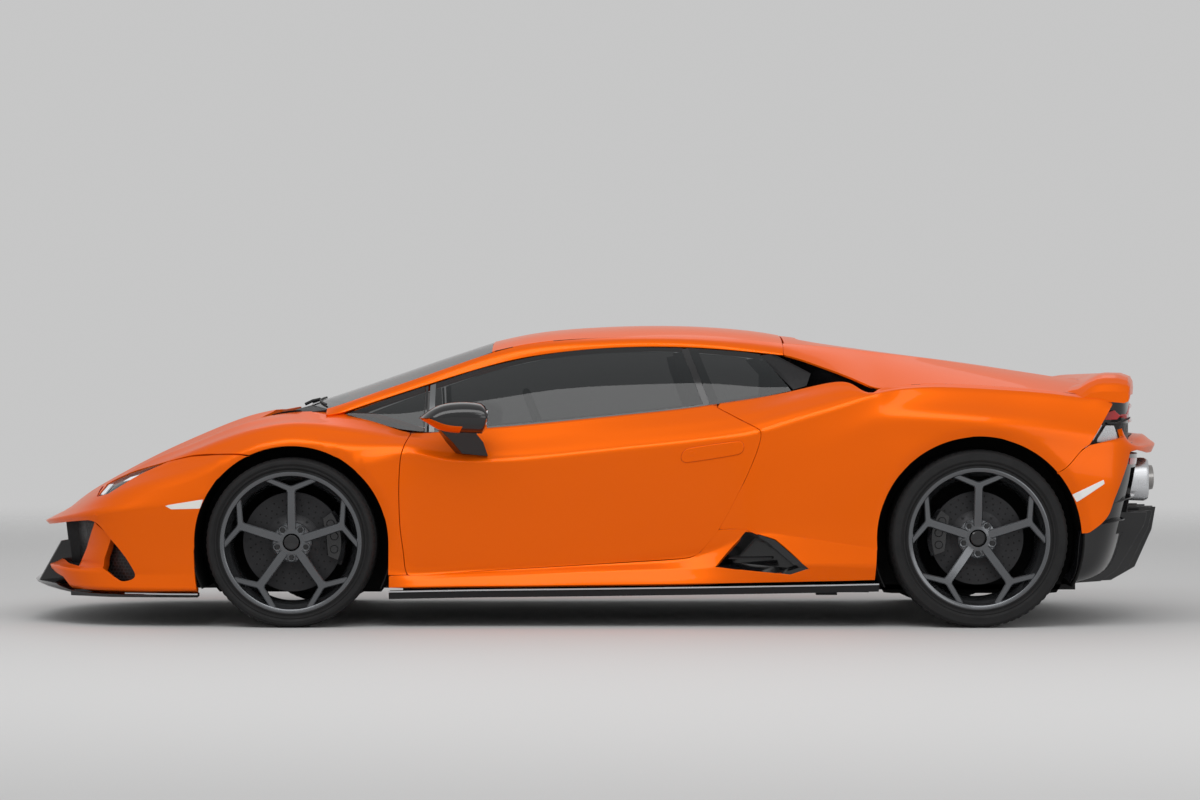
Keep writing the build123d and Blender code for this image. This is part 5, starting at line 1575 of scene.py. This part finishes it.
# upper intakes behind the quarter glass: a dark pocket between the flank and the buttress
pocket = []
for u in (1850, 1900, 1960, 2030, 2100, 2160, 2205, 2238):
    y_in, z_in = SKIN.at(SKIN.row_run("inner", u, u + 1))[0][1:]
    eave_y, eave_z = (np.interp(u, [p[0] for p in EAVE], [p[axis] for p in EAVE]) for axis in (1, 2))
    deep = np.interp(u, [1850, 2150, 2238], [60, 45, 6])
    pocket.append([(u, y_in + 2, z_in - 3), (u, y_in - deep * 0.5, z_in - deep),
        (u, eave_y - deep, min(z_in - deep, eave_z - deep)), (u, eave_y - deep * 0.5, eave_z - 8),
        (u, eave_y - 2, eave_z - 4)])
pocket_faces = [(5 * i + j, 5 * i + 5 + j, 5 * i + 6 + j, 5 * i + 1 + j) for i in range(len(pocket) - 1)
    for j in range(4)]
solid("upper_intake_pockets", twin((np.array(pocket).reshape(-1, 3), pocket_faces)), GLOSS_BLACK,
    angle=60)
trim_loop = side([(1800, 1040), (1853, 1046), (1990, 969), (1972, 922), (1924, 908)], surface=SIDE_GLASS,
    corners=(1, 2, 3, 4))
show("quarter_trim", panel_data(SIDE_GLASS, trim_loop, gap=0, lip=6), SATIN_BLACK)
trim_line = side([(1846, 1046), (1990, 969), (1972, 922)], surface=SIDE_GLASS, corners=(1,))
show("quarter_trim_line", surface_strip(SIDE_GLASS, trim_line, 4.5, offset=1.5), SATIN_BLACK)

# ---- mirrors, one on each door ----
CAP = [(491, 799), (563, 846), (645, 860), (727, 854), (745, 840), (755, 811), (743, 754), (731, 739), (685, 741),
    (608, 746), (563, 758), (522, 782)]
CAP_SECTIONS = [(928, 0.80, 0.74), (940, 0.88, 0.86), (965, 0.96, 0.96), (1000, 1.0, 1.0), (1030, 0.98, 0.95),
    (1054, 0.93, 0.80), (1070, 0.86, 0.58), (1079, 0.76, 0.30)]


def cap_ring(points, y, along, up):
    return [(747 + (u - 747) * along, y, 801 + (z - 801) * up) for u, z in points]


cap_line = smooth_line(CAP, 14, closed=True, corners=(0, 4, 7))
cap = loft([cap_ring(cap_line, *row) for row in CAP_SECTIONS])
stalk = loft([[(560, 938, 752), (690, 938, 752), (700, 985, 752), (572, 985, 752)],
    [(590, 915, 706), (722, 912, 706), (735, 945, 706), (618, 950, 706)],
    [(628, 885, 660), (742, 880, 650), (752, 914, 652), (652, 916, 662)]])
# an orange shell over the lower front of the gloss black cap: painted reflection of the orange body below it
under = [(u, z) for u, z in cap_line if z < 795 and u < 650]
under_reflection_shell = loft([[(u - 1.2, y, z - 1.2) for u, y, z in cap_ring(under, *row)] + [(u + 1.0, y, z + 3)
    for u, y, z in cap_ring(under[::-1], *row)] for row in CAP_SECTIONS[2:7]])
MIRROR_GLASS = new_material("mirror_glass", (0.75, 0.77, 0.80), rough=0.02, metal=1.0)
glass_rings = [[(750, y, 799 - 40 * s), (753, y, 799 + 34 * s), (747, y, 799 + 34 * s), (744, y, 799 - 40 * s)]
    for y, s in ((942, 0.75), (955, 0.9), (1000, 0.95), (1045, 0.78), (1058, 0.6))]
for side_name, turn in SIDES:
    door_body = "door_" + side_name
    solid("mirror_cap_" + side_name, turn(cap), GLOSS_BLACK, door_body, ("mirror_" + side_name,),
        angle=42)
    solid("mirror_stalk_" + side_name, turn(stalk), GLOSS_BLACK, door_body, (), angle=30, bevel=3)
    solid("mirror_underside_" + side_name, turn(under_reflection_shell), PAINT, door_body, (), angle=50)
    solid("mirror_glass_" + side_name, turn(loft(glass_rings)), MIRROR_GLASS, door_body, (), angle=30)

# ---- door handle, glass trims ----
HANDLE = [(1489, 646), (1497, 668), (1516, 680), (1700, 707), (1717, 703), (1722, 686), (1715, 670), (1699, 662),
    (1508, 632), (1495, 635)]
handle_line, below_crown = smooth_line(HANDLE, 8, closed=True), (0, SKIN.row["crown"])
handle = panel_data(SKIN, SKIN.find(handle_line, rows=below_crown), gap=0, lip=6, offset=4.5, radius=3.5)
# a black band round the handle, just proud of the skin: painted shade for the gap round it
gap_loop = SKIN.find(inset(handle_line[::-1], np.full(len(handle_line), -3.5)), rows=below_crown)
handle_shade_band = panel_data(SKIN, gap_loop, gap=0, lip=3, offset=0.5, radius=0.5)
lock = panel_data(SKIN, side(oval(1527, 663, 11, 8), step=5), gap=0, lip=2, offset=5.6, radius=1.0)
# the black divider between the door's panes is coloured light grey: painted reflection
DIVIDER_REFLECTION = new_material("divider_grey", (0.16, 0.165, 0.17), rough=0.35, metal=0.6)
divider_line = side([(530, 741), (530, 926)], surface=SIDE_GLASS)
divider = surface_strip(SIDE_GLASS, divider_line, 22, offset=1.2)
frame_line = side([(507, 741), (507, 920)], surface=SIDE_GLASS)
pillar_line = side([(1588, 846), (1507, 1066)], surface=SIDE_GLASS)
belt_line = side([(u, belt_z(u) + 2) for u in (535, 700, 884, 1154, 1400, 1575)], surface=SIDE_GLASS)
belt = surface_strip(SIDE_GLASS, belt_line, 6, offset=1.0)
show("triangle_frame", surface_strip(SIDE_GLASS, frame_line, 9, offset=0.8), GLOSS_BLACK)
show("b_pillar_trim", surface_strip(SIDE_GLASS, pillar_line, 22, offset=0.8), GLOSS_BLACK)
show("b_pillar", surface_strip(SIDE_GLASS, pillar_line, 90, offset=-9), SATIN_BLACK)
for side_name, turn in SIDES:
    for name, part, material, slot in (
        ("door_handle_", handle, PAINT, "paint"),
        ("door_handle_gap_", handle_shade_band, SATIN_BLACK, "black_satin"),
        ("door_lock_", lock, PAINT, "paint"),
        ("door_divider_", divider, DIVIDER_REFLECTION, "black_satin"),
        ("door_belt_", belt, GLOSS_BLACK, "black_gloss"),
    ):
        show(name + side_name, turn(part), material, "door_" + side_name, (), right=False)

# ---- cowl and wipers ----
COWL = Surface([
    [(-46, 0, 824), (-15, 0, 838), (16, 0, 850)], [(-54, 190, 820), (-20, 190, 835), (24, 190, 848)],
    [(-82, 350, 808), (-25, 365, 830), (40, 372, 843)],
    [(-118, 450, 798), (-30, 480, 822), (66, 480, 840)], [(-158, 516, 784), (-20, 572, 814), (98, 590, 835)],
    [(-60, 552, 806), (40, 622, 818), (126, 664, 831)],
], ("hood", "mid", "screen"))
show("cowl_tray", panel_data(COWL, patch(COWL, (0, 0), (5, 0), (5, 2), (0, 2)), gap=0, lip=14, seam=centre_seam),
    SATIN_BLACK, nodes=("cowl",))
wipers = []
for mirror, (c0, r0), (c1, r1), pivot in ((1, (0.12, 0.35), (0.30, 2.9), (2, 300, 850)),
        (-1, (0.06, 2.6), (0.16, 0.35), (4, -60, 860))):
    line = WINDSCREEN.at(WINDSCREEN.q(*[(c0 + f * (c1 - c0), r0 + f * (r1 - r0)) for f in np.linspace(0, 1, 12)]))
    line = (line + [0, 0, 6]) * [1, mirror, 1]
    middle = line[5] + [0, 0, 3]
    wipers += [tube(line, 4.0, 8), tube([pivot, (np.array(pivot) + middle) / 2 + [0, 0, 4], middle], 6.0, 8)]
solid("wipers", join(*wipers), SATIN_BLACK, angle=50)
# ---- wheel arch liners ----
LINERS = {"f": (379.0, 498.0, 898.0), "r": (400.0, 600.0, 912.0)}  # radius, inner and outer y


def liner_part(end):
    """The arch's tunnel, and the wall at its inner side down to the floor of the car."""
    cu, cz, _ = ARCH[end]
    radius, y0, y1 = LINERS[end]
    tunnel, wall = [], []
    for a in np.radians(np.linspace(-27, 207, 79)):
        c, s = math.cos(a), math.sin(a)
        tunnel.append([(cu + r * c, y, cz + r * s) for r, y in ((radius, y0), (radius, y1), (radius + 4, y1),
            (radius + 4, y0 - 4))])
    for a in np.radians(np.linspace(-90, 270, 121)):
        c, s = math.cos(a), math.sin(a)
        outer = min(radius + 2, (cz - 114) / max(-s, 1e-6))
        wall.append([(cu + r * c, y, cz + r * s) for r, y in ((outer, y0), (90, y0), (90, y0 - 4), (outer, y0 - 4))])
    return join(loft(tunnel), loft(wall))


LINER_FELT = new_material("liner_felt", (0.012, 0.012, 0.012), rough=0.9, specular=0.2)
grainy(LINER_FELT, 420.0, 4.0, 0.3, 0.002)
solid("wheel_arch_liners", twin(join(liner_part("f"), liner_part("r"))), LINER_FELT, nodes=("wheel_liners",),
    angle=50)

# ---- door openings: shut faces round each door ----
shut_low = smooth_line(DOOR_BOTTOM[:-1], 20)
shut_flat = path(shut_low, smooth_line(DOOR_FRONT, 20)[2:])
run = unit(np.gradient(shut_flat, axis=0))
shut_y = SKIN.at(SKIN.find(shut_flat, rows=(0, SKIN.row["crown"])))[:, 1]


def shut_strip(first, stop):
    rings = []
    for (u, z), (du, dz), y in list(zip(shut_flat, run, shut_y))[first:stop]:
        near, far = (u + dz * 9, z - du * 9), (u + dz * 13, z - du * 13)
        rings.append([(near[0], y - 16, near[1]), (near[0], 745, near[1]), (far[0], 745, far[1]),
            (far[0], y - 16, far[1])])
    return loft(rings)


solid("door_shuts", twin(join(shut_strip(0, len(shut_low)), shut_strip(len(shut_low), len(shut_flat)))), PAINT,
    angle=50)

# ---- luggage tray under the front lid, and the engine bay under the rear one ----
def basin(rings):
    """An open tray: a sheet through rings from the rim inwards, closed by a floor and facing its hollow side."""
    n = len(rings[0])
    v = [p for ring in rings for p in ring]
    faces = [(k * n + j, (k + 1) * n + j, (k + 1) * n + (j + 1) % n, k * n + (j + 1) % n)
        for k in range(len(rings) - 1) for j in range(n)]
    faces.append(tuple((len(rings) - 1) * n + j for j in range(n)))
    v = np.array(v, float)
    facing = sum(np.cross(v[f[1]] - v[f[0]], v[f[2]] - v[f[0]])[2] for f in faces[-n - 1 :])
    # u runs opposite to X, so a face that looks up has a negative cross product here
    return (v, faces) if facing < 0 else (v, [f[::-1] for f in faces])


def tray_rim(surface, *pairs):
    """A closed ring along a lid's edges: straight runs between (column, row) numbers and their mirror image."""
    line = surface.at(steps(surface, *pairs, step=60))
    half = [tuple(p) for k, p in enumerate(line) if k == 0 or np.linalg.norm(p - line[k - 1]) > 5]
    return half + [(u, -y, z) for u, y, z in half[::-1] if y > 5]


def tray(rim, centre_u, *rows):
    """A basin from a rim, shrunk in plan about a station.

    Each row holds a share and a drop, or a share, a zero and a fixed height.
    """
    return basin([[(centre_u + (u - centre_u) * share, y * share, height[0] if height else z - drop)
        for u, y, z in rim] for share, drop, *height in rows])


luggage_rim = tray_rim(BONNET, (0.6, 3), (0.6, 0), (6.3, 0), (6.9, 1.6), (7.3, 3))
luggage_tray = tray(luggage_rim, -330.0, (1.01, 16), (0.9, 40), (0.78, 48), (0.70, 70), (0.62, 0, 350))
solid("luggage_tray", luggage_tray, LINER_FELT, angle=30)
bay_rim = tray_rim(DECK, (0.3, 3), (0.3, 0), (11.2, 0), (11.2, 3))
solid("engine_bay", tray(bay_rim, 2480.0, (0.985, 30), (0.93, 60), (0.86, 130), (0.80, 0, 560)), SATIN_BLACK,
    angle=30)
ENGINE_METAL = new_material("engine_cast", (0.10, 0.10, 0.105), rough=0.42, metal=0.8)
grainy(ENGINE_METAL, 300.0, 3.0, 0.25, 0.001)
cover = swept([(2110, 215, 772), (2520, 215, 760)], [(-62, 0), (62, 0), (52, 40), (-52, 40)])
ribs = [box_part(u, u + 14, 168, 262, 806, 822) for u in range(2140, 2500, 40)]
plenum = loft([[(u, -95, z0), (u, 95, z0), (u, 80, z1), (u, -80, z1)]
    for u, z0, z1 in ((2130, 765, 850), (2500, 755, 832))])
solid("engine_head_covers", join(twin(join(cover, *ribs)), plenum), ENGINE_METAL, bevel=6)

# ---- cabin ----
LEATHER = new_material("cabin_leather_black", (0.020, 0.020, 0.021), rough=0.55, specular=0.4)
grainy(LEATHER, 700.0, 3.0, 0.25, 0.001)
TRIM_ORANGE = new_material("stitching_orange", (0.75, 0.13, 0.01), rough=0.6)
ALCANTARA = new_material("cabin_suede", (0.035, 0.035, 0.037), rough=0.95, specular=0.15)
SCREEN_GLASS = new_material("cabin_screen", (0.006, 0.007, 0.009), rough=0.06, coat=1.0)

SECTION = [(-70, -200), (-30, -245), (60, -262), (88, -240), (70, -205), (24, -165), (6, -80), (2, 0), (6, 80),
    (24, 165), (70, 205), (88, 240), (60, 262), (-30, 245), (-70, 200), (-78, 0)]


def seat_part(y0):
    """A bucket seat: cushion and a back that narrows to its headrest."""
    back = []
    for u, z, wide, thick, lean in ((1598, 330, 0.98, 0.9, 0.35), (1650, 420, 1.0, 1.0, 0.38),
            (1706, 530, 1.0, 1.0, 0.40), (1760, 640, 0.98, 1.0, 0.42), (1808, 730, 0.86, 0.8, 0.42),
            (1838, 790, 0.60, 0.55, 0.40), (1862, 840, 0.50, 0.45, 0.38), (1884, 890, 0.46, 0.42, 0.36),
            (1896, 922, 0.34, 0.30, 0.34)):
        back.append([(u - f * thick, y0 + y * wide, z - f * thick * lean) for f, y in SECTION])
    cushion = []
    for u, z, wide, high in ((1168, 372, 0.82, 0.35), (1185, 392, 0.95, 0.6), (1260, 388, 0.98, 0.85),
            (1400, 366, 1.0, 1.0), (1540, 348, 1.0, 1.0), (1640, 345, 0.94, 0.9)):
        cushion.append([(u, y0 + y * wide, z + (f if f > 0 else f * 1.3) * high) for f, y in SECTION])
    return join(loft(back), loft(cushion))


seats = solid("seat_shells", join(seat_part(370), seat_part(-370)), LEATHER, nodes=("seats",),
    angle=180)
softness = seats.modifiers.new("soft", "SUBSURF")
softness.levels = softness.render_levels = 1
insert = []
for y0 in (370, -370):
    insert.append(loft([[(u, y0 + y, z) for y, z in ((-130, z0), (130, z0), (120, z0 + 12), (-120, z0 + 12))]
        for u, z0 in ((1210, 392), (1330, 380), (1450, 364), (1570, 350))]))
    insert.append(loft([[(u - 4, y0 - w, z), (u - 4, y0 + w, z), (u - 18, y0 + w - 8, z - 5),
        (u - 18, y0 - w + 8, z - 5)] for u, z, w in ((1648, 440, 125), (1700, 530, 128), (1752, 640, 122),
        (1795, 715, 105))]))
solid("seat_inserts", join(*insert), ALCANTARA, bevel=5)

DASH = [(452, 600), (462, 700), (500, 752), (580, 776), (660, 778), (740, 758), (792, 720), (810, 680), (790, 640),
    (740, 610), (700, 560), (520, 560)]
dash_line = smooth_line(DASH, 22, closed=True, corners=(10, 11))
dash_rings = []
for y in np.linspace(-690, 690, 25):
    hood_rise = 34 * math.exp(-(((y - 370) / 150) ** 2))
    edge = 1.0 - 0.10 * (abs(y) / 690) ** 4
    dash_rings.append([(452 + (u - 452) * edge, y, 560 + (z - 560) * edge + hood_rise * max(0.0, (z - 700) / 78))
        for u, z in dash_line])
solid("dashboard_shell", loft(dash_rings), LEATHER, nodes=("dashboard",), angle=50)
TUNNEL = [(700, 560, 150), (800, 585, 140), (930, 560, 122), (1060, 500, 110), (1200, 452, 104), (1500, 420, 100),
    (1960, 405, 100)]
tunnel_rings = [[(u, -w, 160), (u, -w - 6, z - 40), (u, -w + 8, z - 8), (u, -w + 26, z), (u, w - 26, z),
    (u, w - 8, z - 8), (u, w + 6, z - 40), (u, w, 160)] for u, z, w in TUNNEL]
solid("centre_tunnel", loft(tunnel_rings), LEATHER, angle=40)
screen_tilt = loft([[(838, y, 598), (956, y, 566), (956, y, 560), (838, y, 592)] for y in (-78, 78)])
cluster = loft([[(800, y, 690), (782, y, 768), (776, y, 768), (794, y, 690)] for y in (255, 485)])
solid("cabin_screens", join(screen_tilt, cluster), SCREEN_GLASS, bevel=2)
vents = []
for y in (-560, -90, 90, 575):
    vents.append(loft([
        [(u, y + half_y * math.cos(a), 700 + half_z * math.sin(a)) for a in np.radians([0, 60, 120, 180, 240, 300])]
        for u, half_y, half_z in ((790, 38, 24), (816, 38, 24), (818, 30, 18), (800, 30, 18))
    ]))
solid("cabin_vents", join(*vents), GLOSS_BLACK)

# steering wheel about its own axis, which rises towards the driver
WHEEL_AT, WHEEL_AXIS = (945, 370, 742), (0.93, 0.0, 0.36)
grip = []
for a in np.linspace(0, 2 * math.pi, 49)[:-1]:
    flat = 1.0 if math.sin(a) > -0.86 else 0.86 / -math.sin(a)
    grip.append((168 * math.cos(a) * flat, 168 * math.sin(a) * flat))
places = []
for x, z in grip:
    d = math.hypot(x, z)
    for t in np.linspace(0, 2 * math.pi, 12, endpoint=False):
        places.append((x + x / d * 15 * math.cos(t), 15 * math.sin(t), z + z / d * 15 * math.cos(t)))
rim_ring = outward((np.array(places), ring_faces(48, 12, wrap=True)))
hub_disc = turned([(0.5, 16), (46, 14), (56, 4), (56, -16), (0.5, -16)], 32)
arms = []
for a, wide in ((0, 22), (180, 22), (262, 14), (278, 14)):
    c, s = math.cos(math.radians(a)), math.sin(math.radians(a))
    arms.append(loft([[(r * c - w * s, y, r * s + w * c) for w, y in ((-wide, -5), (wide, -5), (wide, 7), (-wide, 7))]
        for r in (44, 100, 156)]))
column = turned([(0.5, -10), (30, -10), (38, -60), (38, -130), (0.5, -130)], 24)
solid("steering_wheel_rim", aimed(join(rim_ring, *arms), WHEEL_AT, WHEEL_AXIS), ALCANTARA, nodes=("steering_wheel",),
    angle=50)
solid("steering_wheel_hub", aimed(join(hub_disc, column), WHEEL_AT, WHEEL_AXIS), LEATHER,
    angle=50)

show("roof_lining", panel_data(TOP, roof_loop, offset=-20, gap=0, lip=6, spacing=60, seam=centre_seam), ALCANTARA)
carpet = loft([[(455, 110, z), (455, 640, z), (1975, 640, z), (1975, 110, z)] for z in (149, 158)])
solid("cabin_carpet", twin(carpet), LINER_FELT)
CARD = [
    # height at the front, hollow, and y of the outer side
    (250, 0, 835), (330, -6, 835), (430, -10, 835), (520, 18, 835), (560, 22, 835), (600, 0, 835), (690, -18, 808),
    (722, -4, 782),
]
CARD_RISE = [(500, 0.03), (700, 0.03), (900, 0.04), (1100, 0.045), (1300, 0.05), (1520, 0.055)]
card = loft([
    [(u, min(812, back - 22) - hollow * math.exp(-(((u - 1100) / 520) ** 4)), z + (u - 500) * slope)
    for u, slope in CARD_RISE]
    + [(u, back, z + (u - 500) * 0.045) for u, _ in CARD_RISE[::-1]]
    for z, hollow, back in CARD
])
pull = tube([(900, 792, 560), (930, 770, 580), (1080, 768, 592), (1110, 790, 580)], 9, 10)
for side_name, turn in SIDES:
    door_body = "door_" + side_name
    solid("door_card_" + side_name, turn(card), LEATHER, door_body, (), angle=50, bevel=3)
    solid("door_pull_" + side_name, turn(pull), TRIM_ORANGE, door_body, (), angle=60)


# ---- finishes: a fine grain, and a gloss that is never quite even ----
FINISHES = (
    # material, texture scale per metre, share by which the roughness varies, strength of the fine bump
    (GLOSS_BLACK, 9, 0.2, 0.0), (SATIN_BLACK, 60, 0.14, 0.25), (RIM_METAL, 40, 0.12, 0.0), (DISC_METAL, 70, 0.2, 0.3),
    (CALIPER, 30, 0.2, 0.12), (HOLE_SHADE, 60, 0.05, 0.2), (SILVER, 12, 0.12, 0.0), (LENS_CLEAR, 6, 0.3, 0.0),
    (LENS_RED, 12, 0.3, 0.0), (LED_WHITE, 30, 0.2, 0.0), (REFLECTOR, 30, 0.2, 0.0), (SHADOW_BLACK, 40, 0.1, 0.2),
    (EXHAUST, 25, 0.25, 0.0), (MIRROR_GLASS, 5, 0.3, 0.0), (DIVIDER_REFLECTION, 40, 0.15, 0.0), (TRIM_ORANGE, 80, 0.15, 0.3),
    (ALCANTARA, 90, 0.05, 0.4), (SCREEN_GLASS, 8, 0.3, 0.0), (MESH_BLACK, 40, 0.2, 0.0), (MESH_SIDE, 40, 0.2, 0.0),
)


for mat, scale, spread, strength in FINISHES:
    rough = shader_of(mat).inputs["Roughness"].default_value
    feed(mat, "Roughness", ramp(mat, noise(mat, scale, 4.0), (0.3, rough * (1 - spread)),
        (0.7, min(1.0, rough * (1 + spread)))))
    if strength:
        grainy(mat, scale * 14, 2.0, strength, 0.0005)
feed(GLASS, "Base Color", ramp(GLASS, noise(GLASS, 3.0), (0.3, (0.007, 0.009, 0.010)), (0.7, (0.009, 0.011, 0.012))))

# ---- CAD nodes: the engine, the tub and the floor pan stay in sight ----
NODE_MATERIALS = {"engine": ENGINE_METAL, "tub": LINER_FELT, "floor_pan": SATIN_BLACK}

for name, obj in frame["nodes"].items():
    obj.data.materials.clear()
    obj.data.materials.append(NODE_MATERIALS.get(name, SATIN_BLACK))

# ---- floor, light and camera ----
PALE = (0.58, 0.58, 0.58, 1.0)
BACKDROP_STRENGTH, WORLD_LIGHT = 0.98, 0.66
FLOOR_RADIUS, FADE_FROM = 16.0, 6.0


def studio_floor():
    """A round pale floor, which fades into the backdrop's colour well away from the car."""
    rim = [(FLOOR_RADIUS * math.cos(a), FLOOR_RADIUS * math.sin(a), 0.0) for a in np.linspace(0, 2 * math.pi, 97)[:-1]]
    disc = make_mesh("floor", rim, [tuple(range(len(rim)))], smooth=False)
    mat = new_material("floor", PALE[:3], rough=0.75, specular=0.25)
    nodes, links = mat.node_tree.nodes, mat.node_tree.links
    place, length, fade = new_nodes(mat.node_tree, "TexCoord", "VectorMath", "MapRange")
    length.operation = "LENGTH"
    links.new(place.outputs["Object"], length.inputs[0])
    links.new(length.outputs["Value"], fade.inputs["Value"])
    fade.interpolation_type = "SMOOTHSTEP"
    set_inputs(fade, {"From Min": FADE_FROM, "From Max": FLOOR_RADIUS - 0.5})
    clear, mix = new_nodes(mat.node_tree, "BsdfTransparent", "MixShader")
    links.new(fade.outputs["Result"], mix.inputs[0])
    links.new(shader_of(mat).outputs[0], mix.inputs[1])
    links.new(clear.outputs[0], mix.inputs[2])
    links.new(mix.outputs[0], nodes["Material Output"].inputs["Surface"])
    disc.data.materials.append(mat)


def studio_world():
    """Even soft light, and a pale backdrop for what the camera, metal and glass see."""
    world_data = bpy.data.worlds.new("studio")
    world_data.use_nodes = True
    nodes, links = world_data.node_tree.nodes, world_data.node_tree.links
    light = nodes["Background"]
    set_inputs(light, {"Color": (1.0, 1.0, 1.0, 1.0), "Strength": WORLD_LIGHT})
    seen, ray, mix = new_nodes(world_data.node_tree, "Background", "LightPath", "MixShader")
    set_inputs(seen, {"Color": PALE, "Strength": BACKDROP_STRENGTH})
    total = ray.outputs["Is Camera Ray"]
    for kind in ("Is Glossy Ray", "Is Transmission Ray"):
        (either,) = new_nodes(world_data.node_tree, "Math")
        either.operation, either.use_clamp = "ADD", True
        links.new(total, either.inputs[0])
        links.new(ray.outputs[kind], either.inputs[1])
        total = either.outputs[0]
    links.new(total, mix.inputs[0])
    links.new(light.outputs[0], mix.inputs[1])
    links.new(seen.outputs[0], mix.inputs[2])
    links.new(mix.outputs[0], nodes["World Output"].inputs["Surface"])
    bpy.context.scene.world = world_data


studio_floor()
studio_world()


def area_light(name, place, target, size, power):
    data = bpy.data.lights.new(name, "AREA")
    data.shape = "RECTANGLE"
    data.size, data.size_y = size
    data.energy = power
    light = bpy.data.objects.new(name, data)
    light.location = place
    light.rotation_euler = (Vector(target) - Vector(place)).to_track_quat("-Z", "Y").to_euler()
    bpy.context.scene.collection.objects.link(light)


area_light("key", (0.6, 4.6, 5.2), (0.0, 0.3, 0.5), (7.0, 3.0), 185)
area_light("fill", (-5.0, 6.0, 2.4), (0.0, 0.0, 0.6), (4.0, 3.0), 50)
area_light("rim", (0.0, -5.0, 5.2), (0.0, 0.0, 0.6), (7.0, 3.0), 35)

lens = bpy.data.cameras.new("camera")
lens.sensor_width = 36.0
lens.lens = 102.55
camera = bpy.data.objects.new("camera", lens)
camera.location = (-0.0105, 13.93, 0.867)
camera.rotation_euler = (math.pi / 2, 0, math.pi)
bpy.context.scene.collection.objects.link(camera)
bpy.context.scene.camera = camera
bpy.context.scene.view_settings.view_transform = "Standard"
